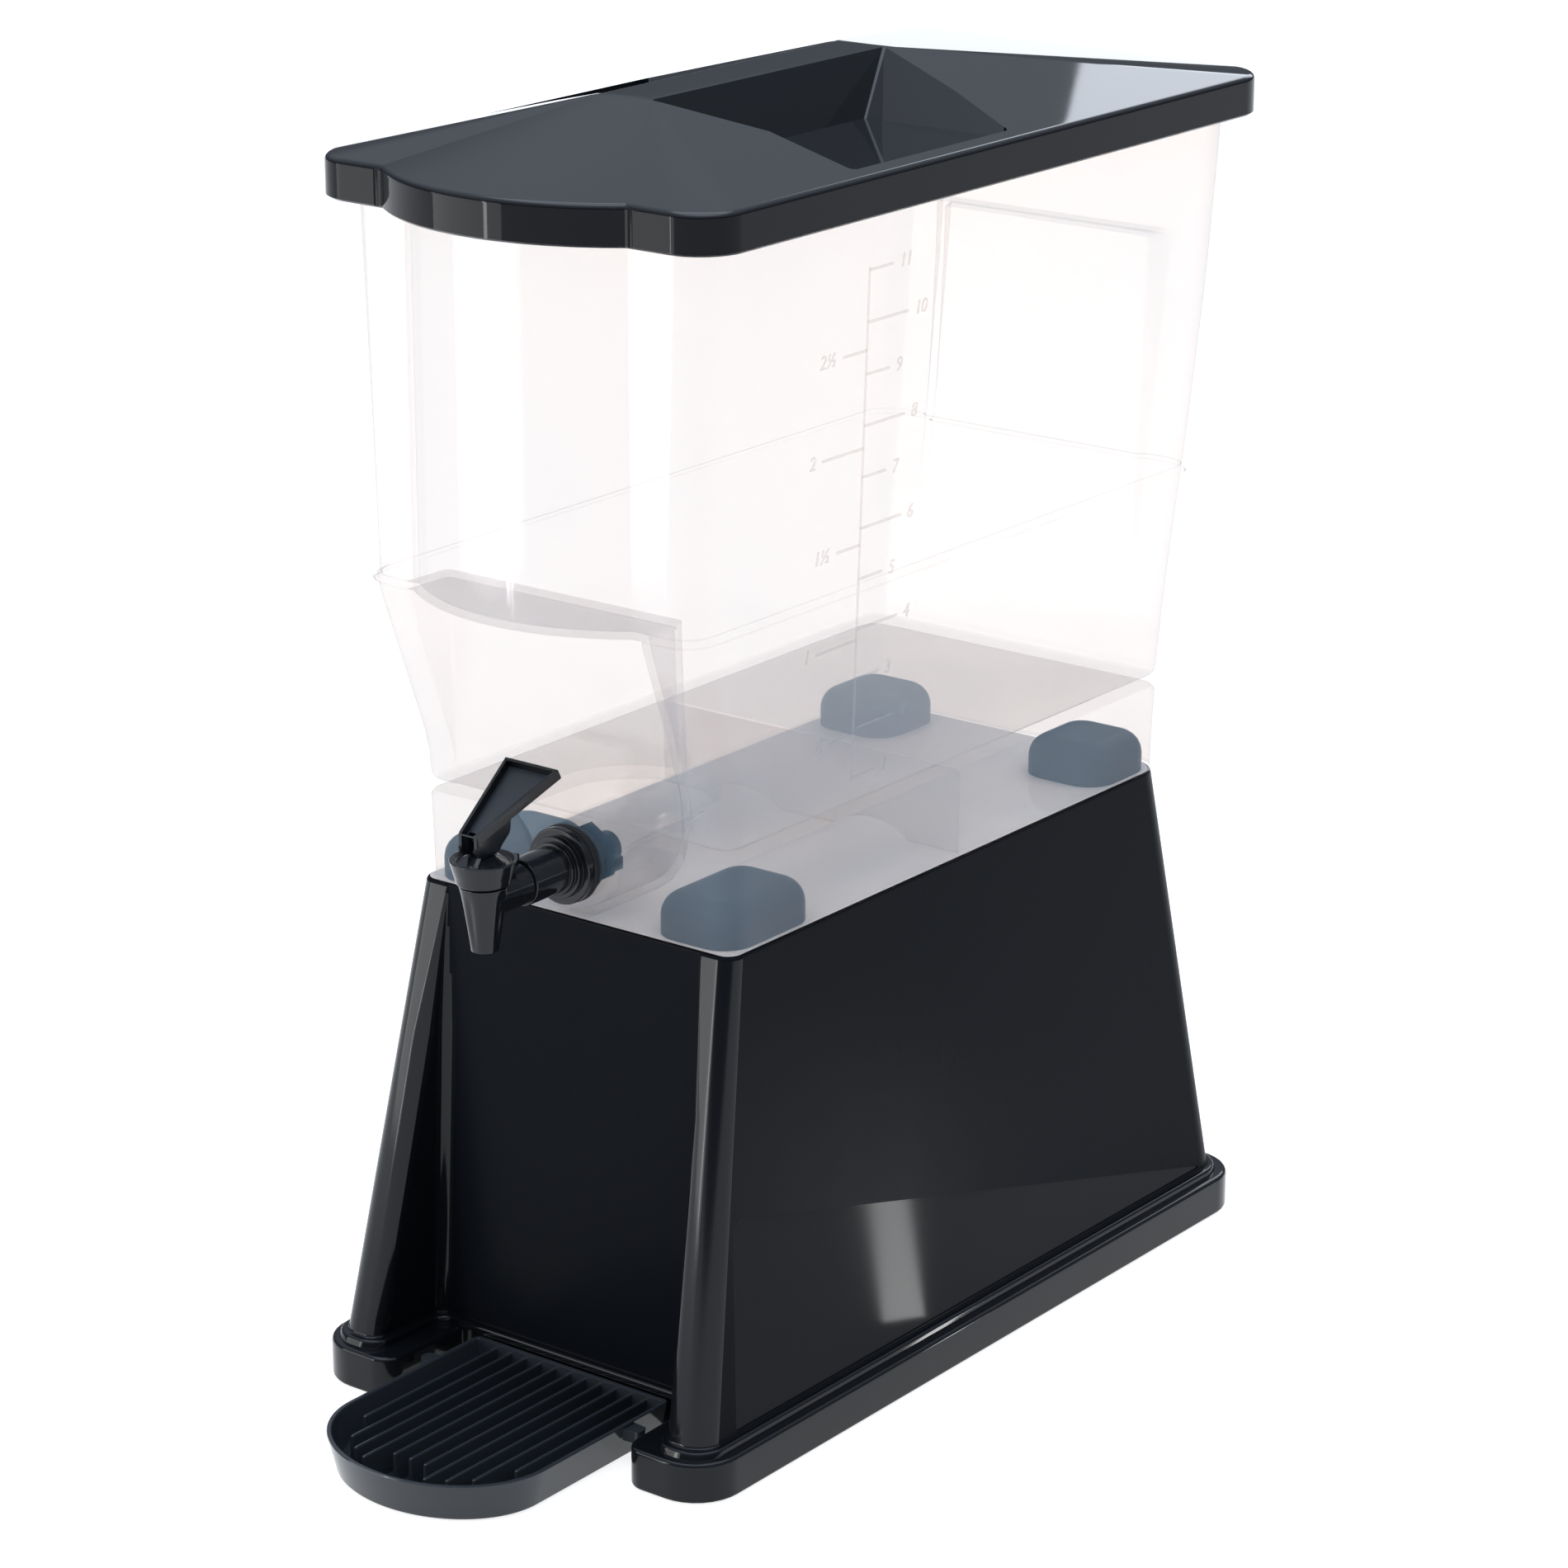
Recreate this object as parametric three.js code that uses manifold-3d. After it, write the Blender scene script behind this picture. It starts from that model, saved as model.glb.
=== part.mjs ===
// Countertop gravity beverage dispenser: a translucent tank with a self-closing tap stands on a
// hollow black base with a pull-out drip tray, under a lift-off roof-shaped lid.
// Millimetres, +Z up, the tap faces -Y, X = 0 is the plane of symmetry, Z = 0 is the worktop.
import * as THREE from 'three';
import { mergeVertices } from 'three/addons/utils/BufferGeometryUtils.js';
import Module from 'manifold-3d';

const wasm = await Module();
wasm.setup();
const { Manifold, Mesh: SolidMesh } = wasm;

// ---------------------------------------------------------------- driving dimensions
const GAP = 0.3; // clearance between touching pieces
const CORNER_STEPS = 6; // facets per quarter-round corner
const ROUND_STEPS = 40; // facets round a full circle

const BASE_TOP = 208; // height of the base's top plate
const BASE_WALL = 3;
const FLANGE = { half: 102.5, front: -156.5, back: 229.7, radius: 22.5, height: 17 };
const FOOT = { half: 95, front: -149, back: 221, radius: 15 }; // outline where the walls meet the flange
const PLINTH = 3; // step round the foot of the walls
const SHOULDER = { half: 79, front: -109.4, back: 191, radius: 15 }; // outline of the base's top
const RECESS = { topHalf: 64, footHalf: 74, wall: -109.4 }; // cup recess between the front columns
const SLOT_HALF = 59; // half width of the tray slot in the flange
const POST = { // the posts that stand up into the tank's skirt
  half: 76, inner: 35, front: -106, frontBack: -50, backFront: 143.5, back: 187, radius: 13, height: 17,
};

const TRAY = { half: 50.5, footHalf: 46.5, centre: -181.2, back: -113, height: 16.5, wall: 2.2, floor: 2.5 };
const RIB = { count: 11, pitch: 7.85, thickness: 1.6, top: 14.5 };
const RIB_FRONTS = [-211.3, -211.7, -221, -217, -210.3, -194.4]; // front ends, from the middle rib outwards
const LUG = { from: 49, to: 57.5, front: -142, back: -135, low: 10, high: 15.5 };

const TANK_FOOT = 208.4; // lower edge of the tank's skirt
const FLOOR = { under: 244.5, top: 249 };
const LEDGE = 337; // underside of the bow, above the cup recess
const TANK_TOP = 498.2;
const WALL = 2.5;
const SKIRT_WALL = 2.2;
const TANK_RADIUS = 17;
const COLUMN_FACE = -136.7; // front of the corner columns above the ledge
const COLUMN_HALF = 56; // inner edge of the corner columns
const BOW = { radius: 89, centre: -66 }; // bowed front of the tank between the columns
const SUMP = { // trough that leads to the tap; its profile is [height, half width]
  wall: 2.5, end: -72, bottom: 215,
  profile: [[209, 5], [211, 12], [215, 17], [222, 20.7], [231, 22.5], [240, 27.5], [249, 38]],
};
const TANK_RIM = { out: 3.2, height: 4 };
const GRIP = { half: 54, low: 300, high: 431, depth: 9 }; // hand grip pressed into the back wall
const WEB = { y: 43, thickness: 2.4, arch: 33, archHalf: 19, rise: 7 }; // stiffening web under the floor
const BACK_PROFILE = [[208.4, 191.3], [258, 194], [295, 198.7], [356, 208.9], [417, 217.3], [480, 222.4], [500, 222.8]];

const LID = { half: 97.9, front: -143.9, back: 231.7, radius: 21, foot: 486.7, eave: 502.5, round: 1.2, wall: 2.5 };
const LID_BOW = { radius: 94.3, centre: -70.2, half: 59.5 };
const SPINE = { half: 11.7, front: -70.2, back: 76.3, top: 525 };
const NOTCH = { x: 61, y: -145.2, radius: 2.6 };
const FINGER = { // finger recess beside the spine, and how far its walls lean out on their way up
  inner: 21.5, outer: 91, front: -50, back: 51, floor: 501, lean: { side: 9.8, front: 21, back: 26 },
};

const TAP = { axis: 231, y: -161, wallFace: -110 }; // shank height, spout centre line, tank's outer face
const SPOUT = { tip: 209.5, top: 236, tipRadius: 5.4, radius: 9.5, bore: 3.8, neckTop: 239.2, neck: 8.6, chamber: 6.6 };
const SEAT = 226; // height of the valve seat
const BOSS = { radius: 8.5, mouth: -141 };
const SHANK = { front: -140.5, thread: 6.6, bore: 4.3, end: -86, back: -113.5 }; // back: rear face of its flange
const COLLARS = [[9.5, 6.6], [10.8, 4.8], [12.6, 3.2], [15.6, 0]]; // [radius, how far ahead of that face it ends]
const NUT = { radius: 13, thickness: 8 };
const WASHERS = { outer: { radius: 15.8, thickness: 2.8 }, inner: { radius: 13.5, thickness: 2.4 } };
const BONNET = { radius: 13.3, foot: 10.8, low: 236.9, high: 246.7, valley: 245.2, crown: 248.4, crownRadius: 5.2,
  ceiling: 242.2, stemHole: 2.7 };
const STEM = { radius: 2.1, eye: 2.4, bulb: 3.4, foot: 228.5 };
const PIVOT = { z: 253.4, pin: 1.2, hole: 1.5, length: 7.2, holeLength: 7.8 }; // the pin sits in blind holes
const CAM = { radius: 4.7, rise: 3.82, turn: Math.PI / 3 }; // the lever's cam: rise in mm per radian of tilt
const PADDLE = { lowHalf: 4.4, highHalf: 13.2, lowY: -169.6, lowZ: 258.6, highY: -131.7, highZ: 277, thickness: 4.2,
  lip: 1.5, floor: 1.4 };
const LEVER_WALL = 1.3;

// ---------------------------------------------------------------- solids and meshes
function solid(geometry) {
  const bare = geometry.index ? geometry.toNonIndexed() : geometry.clone();
  bare.deleteAttribute('normal');
  bare.deleteAttribute('uv');
  const merged = mergeVertices(bare, 1e-4);
  return new Manifold(new SolidMesh({
    numProp: 3,
    vertProperties: new Float32Array(merged.attributes.position.array),
    triVerts: new Uint32Array(merged.index.array),
  }));
}

function union(first, ...others) {
  return others.reduce((sum, other) => sum.add(other), first);
}

function cut(body, ...tools) {
  return tools.reduce((rest, tool) => rest.subtract(tool), body);
}

function piece(name, body, material) {
  const { vertProperties, triVerts } = body.getMesh();
  const geometry = new THREE.BufferGeometry();
  geometry.setAttribute('position', new THREE.BufferAttribute(vertProperties, 3));
  geometry.setIndex(new THREE.BufferAttribute(triVerts, 1));
  geometry.computeVertexNormals();
  const mesh = new THREE.Mesh(geometry, material);
  mesh.name = name;
  return mesh;
}

function box(x0, x1, y0, y1, z0, z1) {
  const geometry = new THREE.BoxGeometry(x1 - x0, y1 - y0, z1 - z0);
  return solid(geometry.translate((x0 + x1) / 2, (y0 + y1) / 2, (z0 + z1) / 2));
}

// A solid of revolution about +Z from a closed list of [radius, height] points.
function turned(points, steps = ROUND_STEPS) {
  const profile = points.map(([radius, height]) => new THREE.Vector2(radius, height));
  return solid(new THREE.LatheGeometry(profile, steps).rotateX(Math.PI / 2));
}

// The same, laid along +Y at the height of the tap's shank: points are [radius, y].
function turnedAlongY(points, steps = ROUND_STEPS) {
  const profile = points.map(([radius, y]) => new THREE.Vector2(radius, y));
  return solid(new THREE.LatheGeometry(profile, steps).translate(0, 0, TAP.axis));
}

function rod(radius, low, high, steps = ROUND_STEPS) {
  return turned([[0, low], [radius, low], [radius, high], [0, high]], steps);
}

function rodAlongY(radius, front, back, steps = ROUND_STEPS) {
  return turnedAlongY([[0, front], [radius, front], [radius, back], [0, back]], steps);
}

// A solid through a stack of rings with the same number of points, counter-clockwise from above.
function loft(rings) {
  const count = rings[0].length;
  const positions = rings.flat().flatMap((point) => [point.x, point.y, point.z]);
  const index = [];
  for (let level = 0; level < rings.length - 1; level += 1) {
    for (let i = 0; i < count; i += 1) {
      const a = level * count + i;
      const b = level * count + (i + 1) % count;
      index.push(a, b, a + count, b, b + count, a + count);
    }
  }
  const last = (rings.length - 1) * count;
  const cap = (ring) => THREE.ShapeUtils.triangulateShape(ring.map(({ x, y }) => new THREE.Vector2(x, y)), []);
  cap(rings[0]).forEach(([a, b, c]) => index.push(a, c, b));
  cap(rings.at(-1)).forEach(([a, b, c]) => index.push(last + a, last + b, last + c));
  const geometry = new THREE.BufferGeometry();
  geometry.setAttribute('position', new THREE.BufferAttribute(new Float32Array(positions), 3));
  geometry.setIndex(index);
  return solid(geometry);
}

// A solid between two like outlines that run counter-clockwise when looking from the first to the second.
function prism(first, second) {
  const count = first.length;
  const acrossX = first.every((point) => point.x === first[0].x);
  const flat = first.map(({ x, y, z }) => (acrossX ? new THREE.Vector2(y, z) : new THREE.Vector2(x, z)));
  const sides = first.flatMap((_, a) => {
    const b = (a + 1) % count;
    return [a, b + count, b, a, a + count, b + count];
  });
  const caps = THREE.ShapeUtils.triangulateShape(flat, [])
    .flatMap(([a, b, c]) => [a, b, c, a + count, c + count, b + count]);
  const geometry = new THREE.BufferGeometry().setFromPoints([...first, ...second]);
  return solid(geometry.setIndex([...sides, ...caps]));
}

function ringAt(outline, z) {
  return outline.map(([x, y]) => new THREE.Vector3(x, y, z));
}

// Rectangle from -half to +half and front to back, with round corners.
function roundedOutline({ half, front, back, radius }) {
  const centres = [[half - radius, back - radius, 0], [radius - half, back - radius, 1],
    [radius - half, front + radius, 2], [half - radius, front + radius, 3]];
  return centres.flatMap(([cx, cy, quarter]) => Array.from({ length: CORNER_STEPS + 1 }, (_, step) => {
    const angle = (quarter + step / CORNER_STEPS) * Math.PI / 2;
    return [cx + radius * Math.cos(angle), cy + radius * Math.sin(angle)];
  }));
}

function roundedRing(shape, z, inset = 0) {
  const radius = Math.max(shape.radius - inset, 1);
  return ringAt(roundedOutline({
    half: shape.half - inset, front: shape.front + inset, back: shape.back - inset, radius,
  }), z);
}

function mirrored(body) {
  return union(body, body.mirror([1, 0, 0]));
}

function along(profile, value) {
  const next = profile.findIndex(([at]) => at >= value);
  if (next <= 0) return next === 0 ? profile[0][1] : profile.at(-1)[1];
  const [[z0, y0], [z1, y1]] = [profile[next - 1], profile[next]];
  return y0 + (y1 - y0) * (value - z0) / (z1 - z0);
}

// ---------------------------------------------------------------- materials
function plastic(color, roughness) {
  return new THREE.MeshStandardMaterial({ color, roughness, metalness: 0 });
}

const BLACK_GLOSS = plastic(0x0b0b0d, 0.22);
const BLACK_SATIN = plastic(0x101114, 0.4);
const SILICONE = plastic(0xd8d4cc, 0.6);
const RUBBER = plastic(0x17171a, 0.75);
const STEEL = new THREE.MeshStandardMaterial({ color: 0xb9bbbd, roughness: 0.3, metalness: 1 });
const CLEAR = new THREE.MeshStandardMaterial({
  color: 0xefe8e8, roughness: 0.35, metalness: 0, transparent: true, opacity: 0.45,
});

// ---------------------------------------------------------------- base
function baseOutlineAt(z) {
  const t = (z - FLANGE.height) / (BASE_TOP - FLANGE.height);
  const mix = (key) => FOOT[key] + (SHOULDER[key] - FOOT[key]) * t;
  return { half: mix('half'), front: mix('front'), back: mix('back'), radius: mix('radius') };
}

// The space between the front columns, open to the front, with its walls moved in by an inset.
function recessVoid(inset, low, high) {
  const halfAt = (z) => RECESS.footHalf
    + (RECESS.topHalf - RECESS.footHalf) * (z - FLANGE.height) / (BASE_TOP - FLANGE.height);
  const ring = (z) => {
    const half = halfAt(z) + inset;
    const wall = RECESS.wall + inset;
    return ringAt([[half, wall], [-half, wall], [-half, FLANGE.front - 20], [half, FLANGE.front - 20]], z);
  };
  return loft([ring(low), ring(high)]);
}

// The four round-cornered posts that stand up into the tank's skirt, shrunk all round by an inset.
function postsAt(inset, low, high) {
  const ring = (front, back, grow, z) => {
    const half = (POST.half - POST.inner) / 2 - grow;
    const radius = Math.max(POST.radius - grow, 2);
    return roundedRing({ half, front: front + grow, back: back - grow, radius }, z)
      .map((point) => point.setX(point.x + (POST.half + POST.inner) / 2));
  };
  const post = (front, back) => loft([[0, low], [0, high - 9], [1.5, high - 4.5], [4, high - 1.7], [8, high]]
    .map(([grow, z]) => ring(front, back, inset + grow, z)));
  return mirrored(union(post(POST.front, POST.frontBack), post(POST.backFront, POST.back)));
}

function baseShell() {
  const plinthTop = FLANGE.height + PLINTH;
  const outline = (z, inset = 0) => roundedRing(baseOutlineAt(z), z, inset);
  const walls = loft([outline(0.5), outline(BASE_TOP)]);
  const flange = loft([roundedRing(FLANGE, 0, 1), roundedRing(FLANGE, 1.2), roundedRing(FLANGE, FLANGE.height - 1.5),
    roundedRing(FLANGE, FLANGE.height, 1.5)]);
  const plinth = loft([outline(FLANGE.height - 1, -3.2), outline(plinthTop, -2.6)]);
  const slot = box(-SLOT_HALF, SLOT_HALF, FLANGE.front - 5, RECESS.wall, -1, plinthTop + 1);
  const recess = recessVoid(0, plinthTop - 8, BASE_TOP - 1.5);
  const shell = union(cut(union(walls, flange, plinth), slot, recess), postsAt(0, BASE_TOP - 1, BASE_TOP + POST.height));
  const hollow = cut(loft([outline(-1, BASE_WALL), outline(BASE_TOP - BASE_WALL, BASE_WALL)]),
    box(-SLOT_HALF - BASE_WALL, SLOT_HALF + BASE_WALL, FLANGE.front - 5, RECESS.wall + BASE_WALL, -2, plinthTop + 4),
    recessVoid(BASE_WALL, -2, BASE_TOP + 1));
  const postHollows = postsAt(WALL, BASE_TOP - BASE_WALL - 1, BASE_TOP + POST.height - WALL);
  return cut(shell, hollow, postHollows);
}

// ---------------------------------------------------------------- drip tray
function trayRing(half, z, inset = 0) {
  const radius = half - inset;
  const front = Array.from({ length: 25 }, (_, step) => {
    const angle = Math.PI + step * Math.PI / 24;
    return [radius * Math.cos(angle), TRAY.centre + radius * Math.sin(angle)];
  });
  return ringAt([...front, [radius, TRAY.back - inset], [-radius, TRAY.back - inset]], z);
}

function dripTray() {
  const halfAt = (z) => TRAY.footHalf + (TRAY.half - TRAY.footHalf) * z / TRAY.height;
  const pan = loft([trayRing(halfAt(0), 0), trayRing(halfAt(TRAY.height), TRAY.height)]);
  const inside = loft([trayRing(halfAt(TRAY.floor), TRAY.floor, TRAY.wall),
    trayRing(halfAt(TRAY.height + 1), TRAY.height + 1, TRAY.wall)]);
  const middle = (RIB.count - 1) / 2;
  const ribs = Array.from({ length: RIB.count }, (_, i) => {
    const x = (i - middle) * RIB.pitch;
    const front = RIB_FRONTS[Math.abs(i - middle)];
    return box(x - RIB.thickness / 2, x + RIB.thickness / 2, front, TRAY.back - 1, 1, RIB.top);
  });
  const lug = mirrored(box(LUG.from, LUG.to, LUG.front, LUG.back, LUG.low, LUG.high));
  return union(cut(union(pan, lug), inside), ...ribs);
}

// ---------------------------------------------------------------- tank
function tankHalf(z) {
  return along([[208.4, 79.2], [248, 80], [500, 89.4]], z);
}

function tankBack(z) {
  return along(BACK_PROFILE, z);
}

function columnFront(z) {
  return along([[208.4, -109.4], [264, -111], [LEDGE, COLUMN_FACE]], z);
}

function centreFront(z) {
  return along([[208.4, -109.4], [248, -110], [LEDGE, -113.5]], z);
}

const LOWER_LEVELS = [TANK_FOOT, 248, 264, 295, LEDGE];
const UPPER_LEVELS = [LEDGE, 356, 417, 480, TANK_TOP];

function tankRing(z, inset) {
  const shape = { half: tankHalf(z), front: columnFront(z), back: tankBack(z), radius: TANK_RADIUS };
  return roundedRing(shape, z, inset);
}

// The space in front of the recessed centre wall, below the bow.
function cupVoid(inset, low, high) {
  const half = COLUMN_HALF + inset;
  const ring = (z) => ringAt([[half, centreFront(z) + inset], [-half, centreFront(z) + inset],
    [-half, COLUMN_FACE - 30], [half, COLUMN_FACE - 30]], z);
  return loft([low, 248, high].filter((z, i, all) => i === 0 || z > all[i - 1]).map(ring));
}

function bow(inset, low, high) {
  const round = rod(BOW.radius - inset, low, high, 96).translate([0, BOW.centre, 0]);
  return round.intersect(box(-COLUMN_HALF - 6, COLUMN_HALF + 6, -200, -100, low - 1, high + 1));
}

// The trough under the floor that leads to the tap: round below, flaring out to meet the floor.
function sump(inset) {
  const ring = ([z, half]) => {
    const width = half - inset;
    return roundedRing({ half: width, front: -140, back: SUMP.end + width, radius: width - 0.5 },
      z + (z < SUMP.bottom ? inset : 0));
  };
  return loft(SUMP.profile.map(ring));
}

function gripVoid(inset) {
  const face = (z) => tankBack(z) - GRIP.depth * (z - GRIP.low) / (GRIP.high - GRIP.low) - inset;
  const half = GRIP.half + inset;
  const ring = (z) => ringAt([[half, 260], [-half, 260], [-half, face(z)], [half, face(z)]], z);
  return loft([GRIP.low, 356, 417, GRIP.high + inset].map(ring));
}

function web() {
  const plate = box(-tankHalf(230) + 1, tankHalf(230) - 1, WEB.y - WEB.thickness / 2, WEB.y + WEB.thickness / 2,
    TANK_FOOT, FLOOR.under + 1);
  const radius = (WEB.archHalf ** 2 + WEB.rise ** 2) / (2 * WEB.rise);
  const arch = solid(new THREE.CylinderGeometry(radius, radius, 10, 96)
    .translate(WEB.arch, WEB.y, TANK_FOOT + WEB.rise - radius));
  return cut(plate, mirrored(arch));
}

function tank() {
  const lower = loft(LOWER_LEVELS.map((z) => tankRing(z, 0)));
  const upper = loft(UPPER_LEVELS.map((z) => tankRing(z, 0)));
  const rim = loft([TANK_TOP - TANK_RIM.height, TANK_TOP].map((z) => tankRing(z, -TANK_RIM.out)));
  const bowRim = bow(-TANK_RIM.out, TANK_TOP - TANK_RIM.height, TANK_TOP);
  const outside = cut(union(cut(lower, cupVoid(0, TANK_FOOT - 1, LEDGE)), upper, bow(0, LEDGE, TANK_TOP), rim, bowRim),
    gripVoid(0));

  const lowerInside = cut(loft([FLOOR.top, 264, 295, LEDGE, LEDGE + 3].map((z) => tankRing(z, WALL))),
    cupVoid(WALL, FLOOR.top - 5, LEDGE + WALL));
  const upperInside = loft([LEDGE + WALL, 356, 417, 480, TANK_TOP + 1].map((z) => tankRing(z, WALL)));
  const inside = cut(union(lowerInside, upperInside, bow(WALL, LEDGE + WALL, TANK_TOP + 1)), gripVoid(WALL));
  const skirtInside = cut(loft([200, FLOOR.under].map((z) => tankRing(z, SKIRT_WALL))),
    cupVoid(SKIRT_WALL, 190, FLOOR.under + 1));

  const floorLimit = loft([TANK_FOOT, FLOOR.top - 1].map((z) => tankRing(z, 0)));
  const frontLimit = box(-60, 60, TAP.wallFace + WALL + 0.1, 0, 180, 300);
  const shell = union(cut(outside, inside, skirtInside), web(),
    cut(sump(0).intersect(floorLimit), cupVoid(0, 190, 260)));
  return cut(shell, sump(SUMP.wall).intersect(frontLimit), rodAlongY(SHANK.thread + GAP, -125, -100));
}

// ---------------------------------------------------------------- lid
function lidBow(inset, low) {
  const { radius } = LID_BOW;
  const profile = [[0, low], [radius - inset, low], [radius - inset, LID.eave - inset],
    [SPINE.half - inset / 2, SPINE.top - inset], [0, SPINE.top - inset]];
  const round = turned(profile, 96).translate([0, LID_BOW.centre, 0]);
  const half = LID_BOW.half - inset;
  return round.intersect(box(-half, half, -200, LID_BOW.centre, low - 1, SPINE.top + 1));
}

function lidRoof(inset, low) {
  const spine = roundedRing({ ...SPINE, radius: 1.5 }, SPINE.top - inset, inset / 2);
  return loft([roundedRing(LID, low, inset), roundedRing(LID, LID.eave - inset - LID.round, inset),
    roundedRing(LID, LID.eave - inset, inset + LID.round), spine]);
}

// The finger recess on the right of the spine, flaring upward, with its walls moved out by an inset.
function fingerVoid(inset) {
  const { inner, outer, front, back, floor, lean } = FINGER;
  const ring = (z, side, ahead, behind) => ringAt([[inner - side - inset, front - ahead - inset],
    [outer + inset, front - inset], [outer + inset, back + inset], [inner - side - inset, back + behind + inset]], z);
  const climb = (SPINE.top + 4 - floor) / (SPINE.top - floor);
  return loft([ring(floor - inset, 0, 0, 0),
    ring(SPINE.top + 4, lean.side * climb, lean.front * climb, lean.back * climb)]);
}

function lid() {
  const outside = union(lidRoof(0, LID.foot), lidBow(0, LID.foot));
  const inside = union(lidRoof(LID.wall, LID.foot - 1), lidBow(LID.wall, LID.foot - 1));
  const fingers = mirrored(fingerVoid(0));
  const fingerShells = mirrored(fingerVoid(LID.wall));
  const notchTool = (radius) => mirrored(rod(radius, LID.foot - 5, LID.eave + 8, 16).translate([NOTCH.x, NOTCH.y, 0]));
  return cut(outside, fingers, notchTool(NOTCH.radius),
    cut(inside, fingerShells, notchTool(NOTCH.radius + LID.wall)));
}

// ---------------------------------------------------------------- tap
function tapBody() {
  const spout = turned([[0, SPOUT.tip], [SPOUT.tipRadius, SPOUT.tip], [SPOUT.radius, SPOUT.top],
    [SPOUT.neck, SPOUT.top + 0.2], [SPOUT.neck, SPOUT.neckTop], [0, SPOUT.neckTop]]).translate([0, TAP.y, 0]);
  const bonnetSeat = rod(BONNET.radius + GAP, BONNET.low - GAP, BONNET.high).translate([0, TAP.y, 0]);
  const boss = cut(rodAlongY(BOSS.radius, TAP.y, BOSS.mouth), bonnetSeat);
  const waterway = turned([[0, SPOUT.tip - 1], [SPOUT.bore, SPOUT.tip - 1], [SPOUT.bore, SEAT - 1.5],
    [SPOUT.chamber, SEAT], [SPOUT.chamber, SPOUT.neckTop + 1], [0, SPOUT.neckTop + 1]]).translate([0, TAP.y, 0]);
  return cut(union(spout, boss), waterway, rodAlongY(SHANK.bore, TAP.y, BOSS.mouth + 1));
}

function tapShank() {
  const steps = COLLARS.flatMap(([radius, ahead], i) => {
    const start = i ? SHANK.back - COLLARS[i - 1][1] + 0.2 : SHANK.front;
    return [[radius, start], [radius, SHANK.back - ahead]];
  });
  const outside = turnedAlongY([[0, SHANK.front], ...steps, [SHANK.thread, SHANK.back],
    [SHANK.thread, SHANK.end], [0, SHANK.end]]);
  return cut(outside, rodAlongY(SHANK.bore, SHANK.front - 1, SHANK.end + 1));
}

function washer({ radius, thickness }, front) {
  return cut(rodAlongY(radius, front, front + thickness),
    rodAlongY(SHANK.thread + GAP, front - 1, front + thickness + 1));
}

function shankNut(front) {
  const ears = mirrored(box(NUT.radius - 3, NUT.radius + 3.5, front + 0.5, front + NUT.thickness - 1,
    TAP.axis - 2.5, TAP.axis + 2.5));
  return cut(union(rodAlongY(NUT.radius, front, front + NUT.thickness, 6), ears),
    rodAlongY(SHANK.thread + GAP, front - 1, front + NUT.thickness + 1));
}

function bonnet() {
  const { radius, foot, low, high, valley, crown, crownRadius, ceiling, stemHole } = BONNET;
  const neck = SPOUT.neck + GAP;
  return turned([[neck, low], [foot - 0.6, low], [foot, low + 1.2], [radius, high - 0.8], [radius - 0.5, high],
    [radius - 1.1, high], [radius - 2.6, valley], [crownRadius, crown], [stemHole, crown], [stemHole, ceiling],
    [neck, ceiling], [neck, low]]).translate([0, TAP.y, 0]);
}

function seatCup() {
  const rimLow = SPOUT.neckTop + GAP;
  const rimHigh = BONNET.ceiling - GAP;
  const outer = SPOUT.chamber - 1;
  return turned([[0, SEAT + 0.6], [3.2, SEAT + 0.6], [outer, SEAT + 2.6], [outer, rimLow], [SPOUT.neck - 0.4, rimLow],
    [SPOUT.neck - 0.4, rimHigh], [outer - 1.2, rimHigh], [outer - 1.2, SEAT + 3.4], [4, SEAT + 2], [0, SEAT + 2]])
    .translate([0, TAP.y, 0]);
}

function stem() {
  const { radius, eye, bulb, foot } = STEM;
  const top = PIVOT.z + eye;
  const column = turned([[0, foot], [bulb, foot], [bulb, foot + 2.4], [radius, foot + 3.6], [radius, PIVOT.z - 3],
    [eye, PIVOT.z - 2.6], [eye, top - 0.6], [eye - 0.5, top], [0, top]], 24).translate([0, TAP.y, 0]);
  return cut(column, crossRod(PIVOT.hole, PIVOT.holeLength));
}

// A rod along X through the lever's pivot.
function crossRod(radius, length) {
  return solid(new THREE.CylinderGeometry(radius, radius, length, 20).rotateZ(Math.PI / 2)
    .translate(0, TAP.y, PIVOT.z));
}

// Side view of the lever's cheeks as [y, z] from the pivot. Their lower front edge is the envelope of a flat
// follower that sinks evenly as the lever tilts, so the crown of the bonnet lifts the stem at a constant rate.
function camOutline() {
  const { radius, rise, turn } = CAM;
  const steps = 8;
  const envelope = Array.from({ length: steps + 1 }, (_, i) => {
    const angle = turn * (1 - i / steps);
    const drop = radius + rise * angle;
    return [-drop * Math.sin(angle) - rise * Math.cos(angle), rise * Math.sin(angle) - drop * Math.cos(angle)];
  });
  const heel = Array.from({ length: 5 }, (_, i) => (-90 + i * 15) * Math.PI / 180)
    .map((angle) => [1.8 + radius * Math.cos(angle), radius * Math.sin(angle)]);
  const front = PADDLE.lowY - TAP.y;
  return [[front, PADDLE.lowZ - PIVOT.z - 0.4], [front, 0], ...envelope, ...heel, [10.8, 1.8], [11.5, 4.5], [11.5, 12.4]];
}

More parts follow.
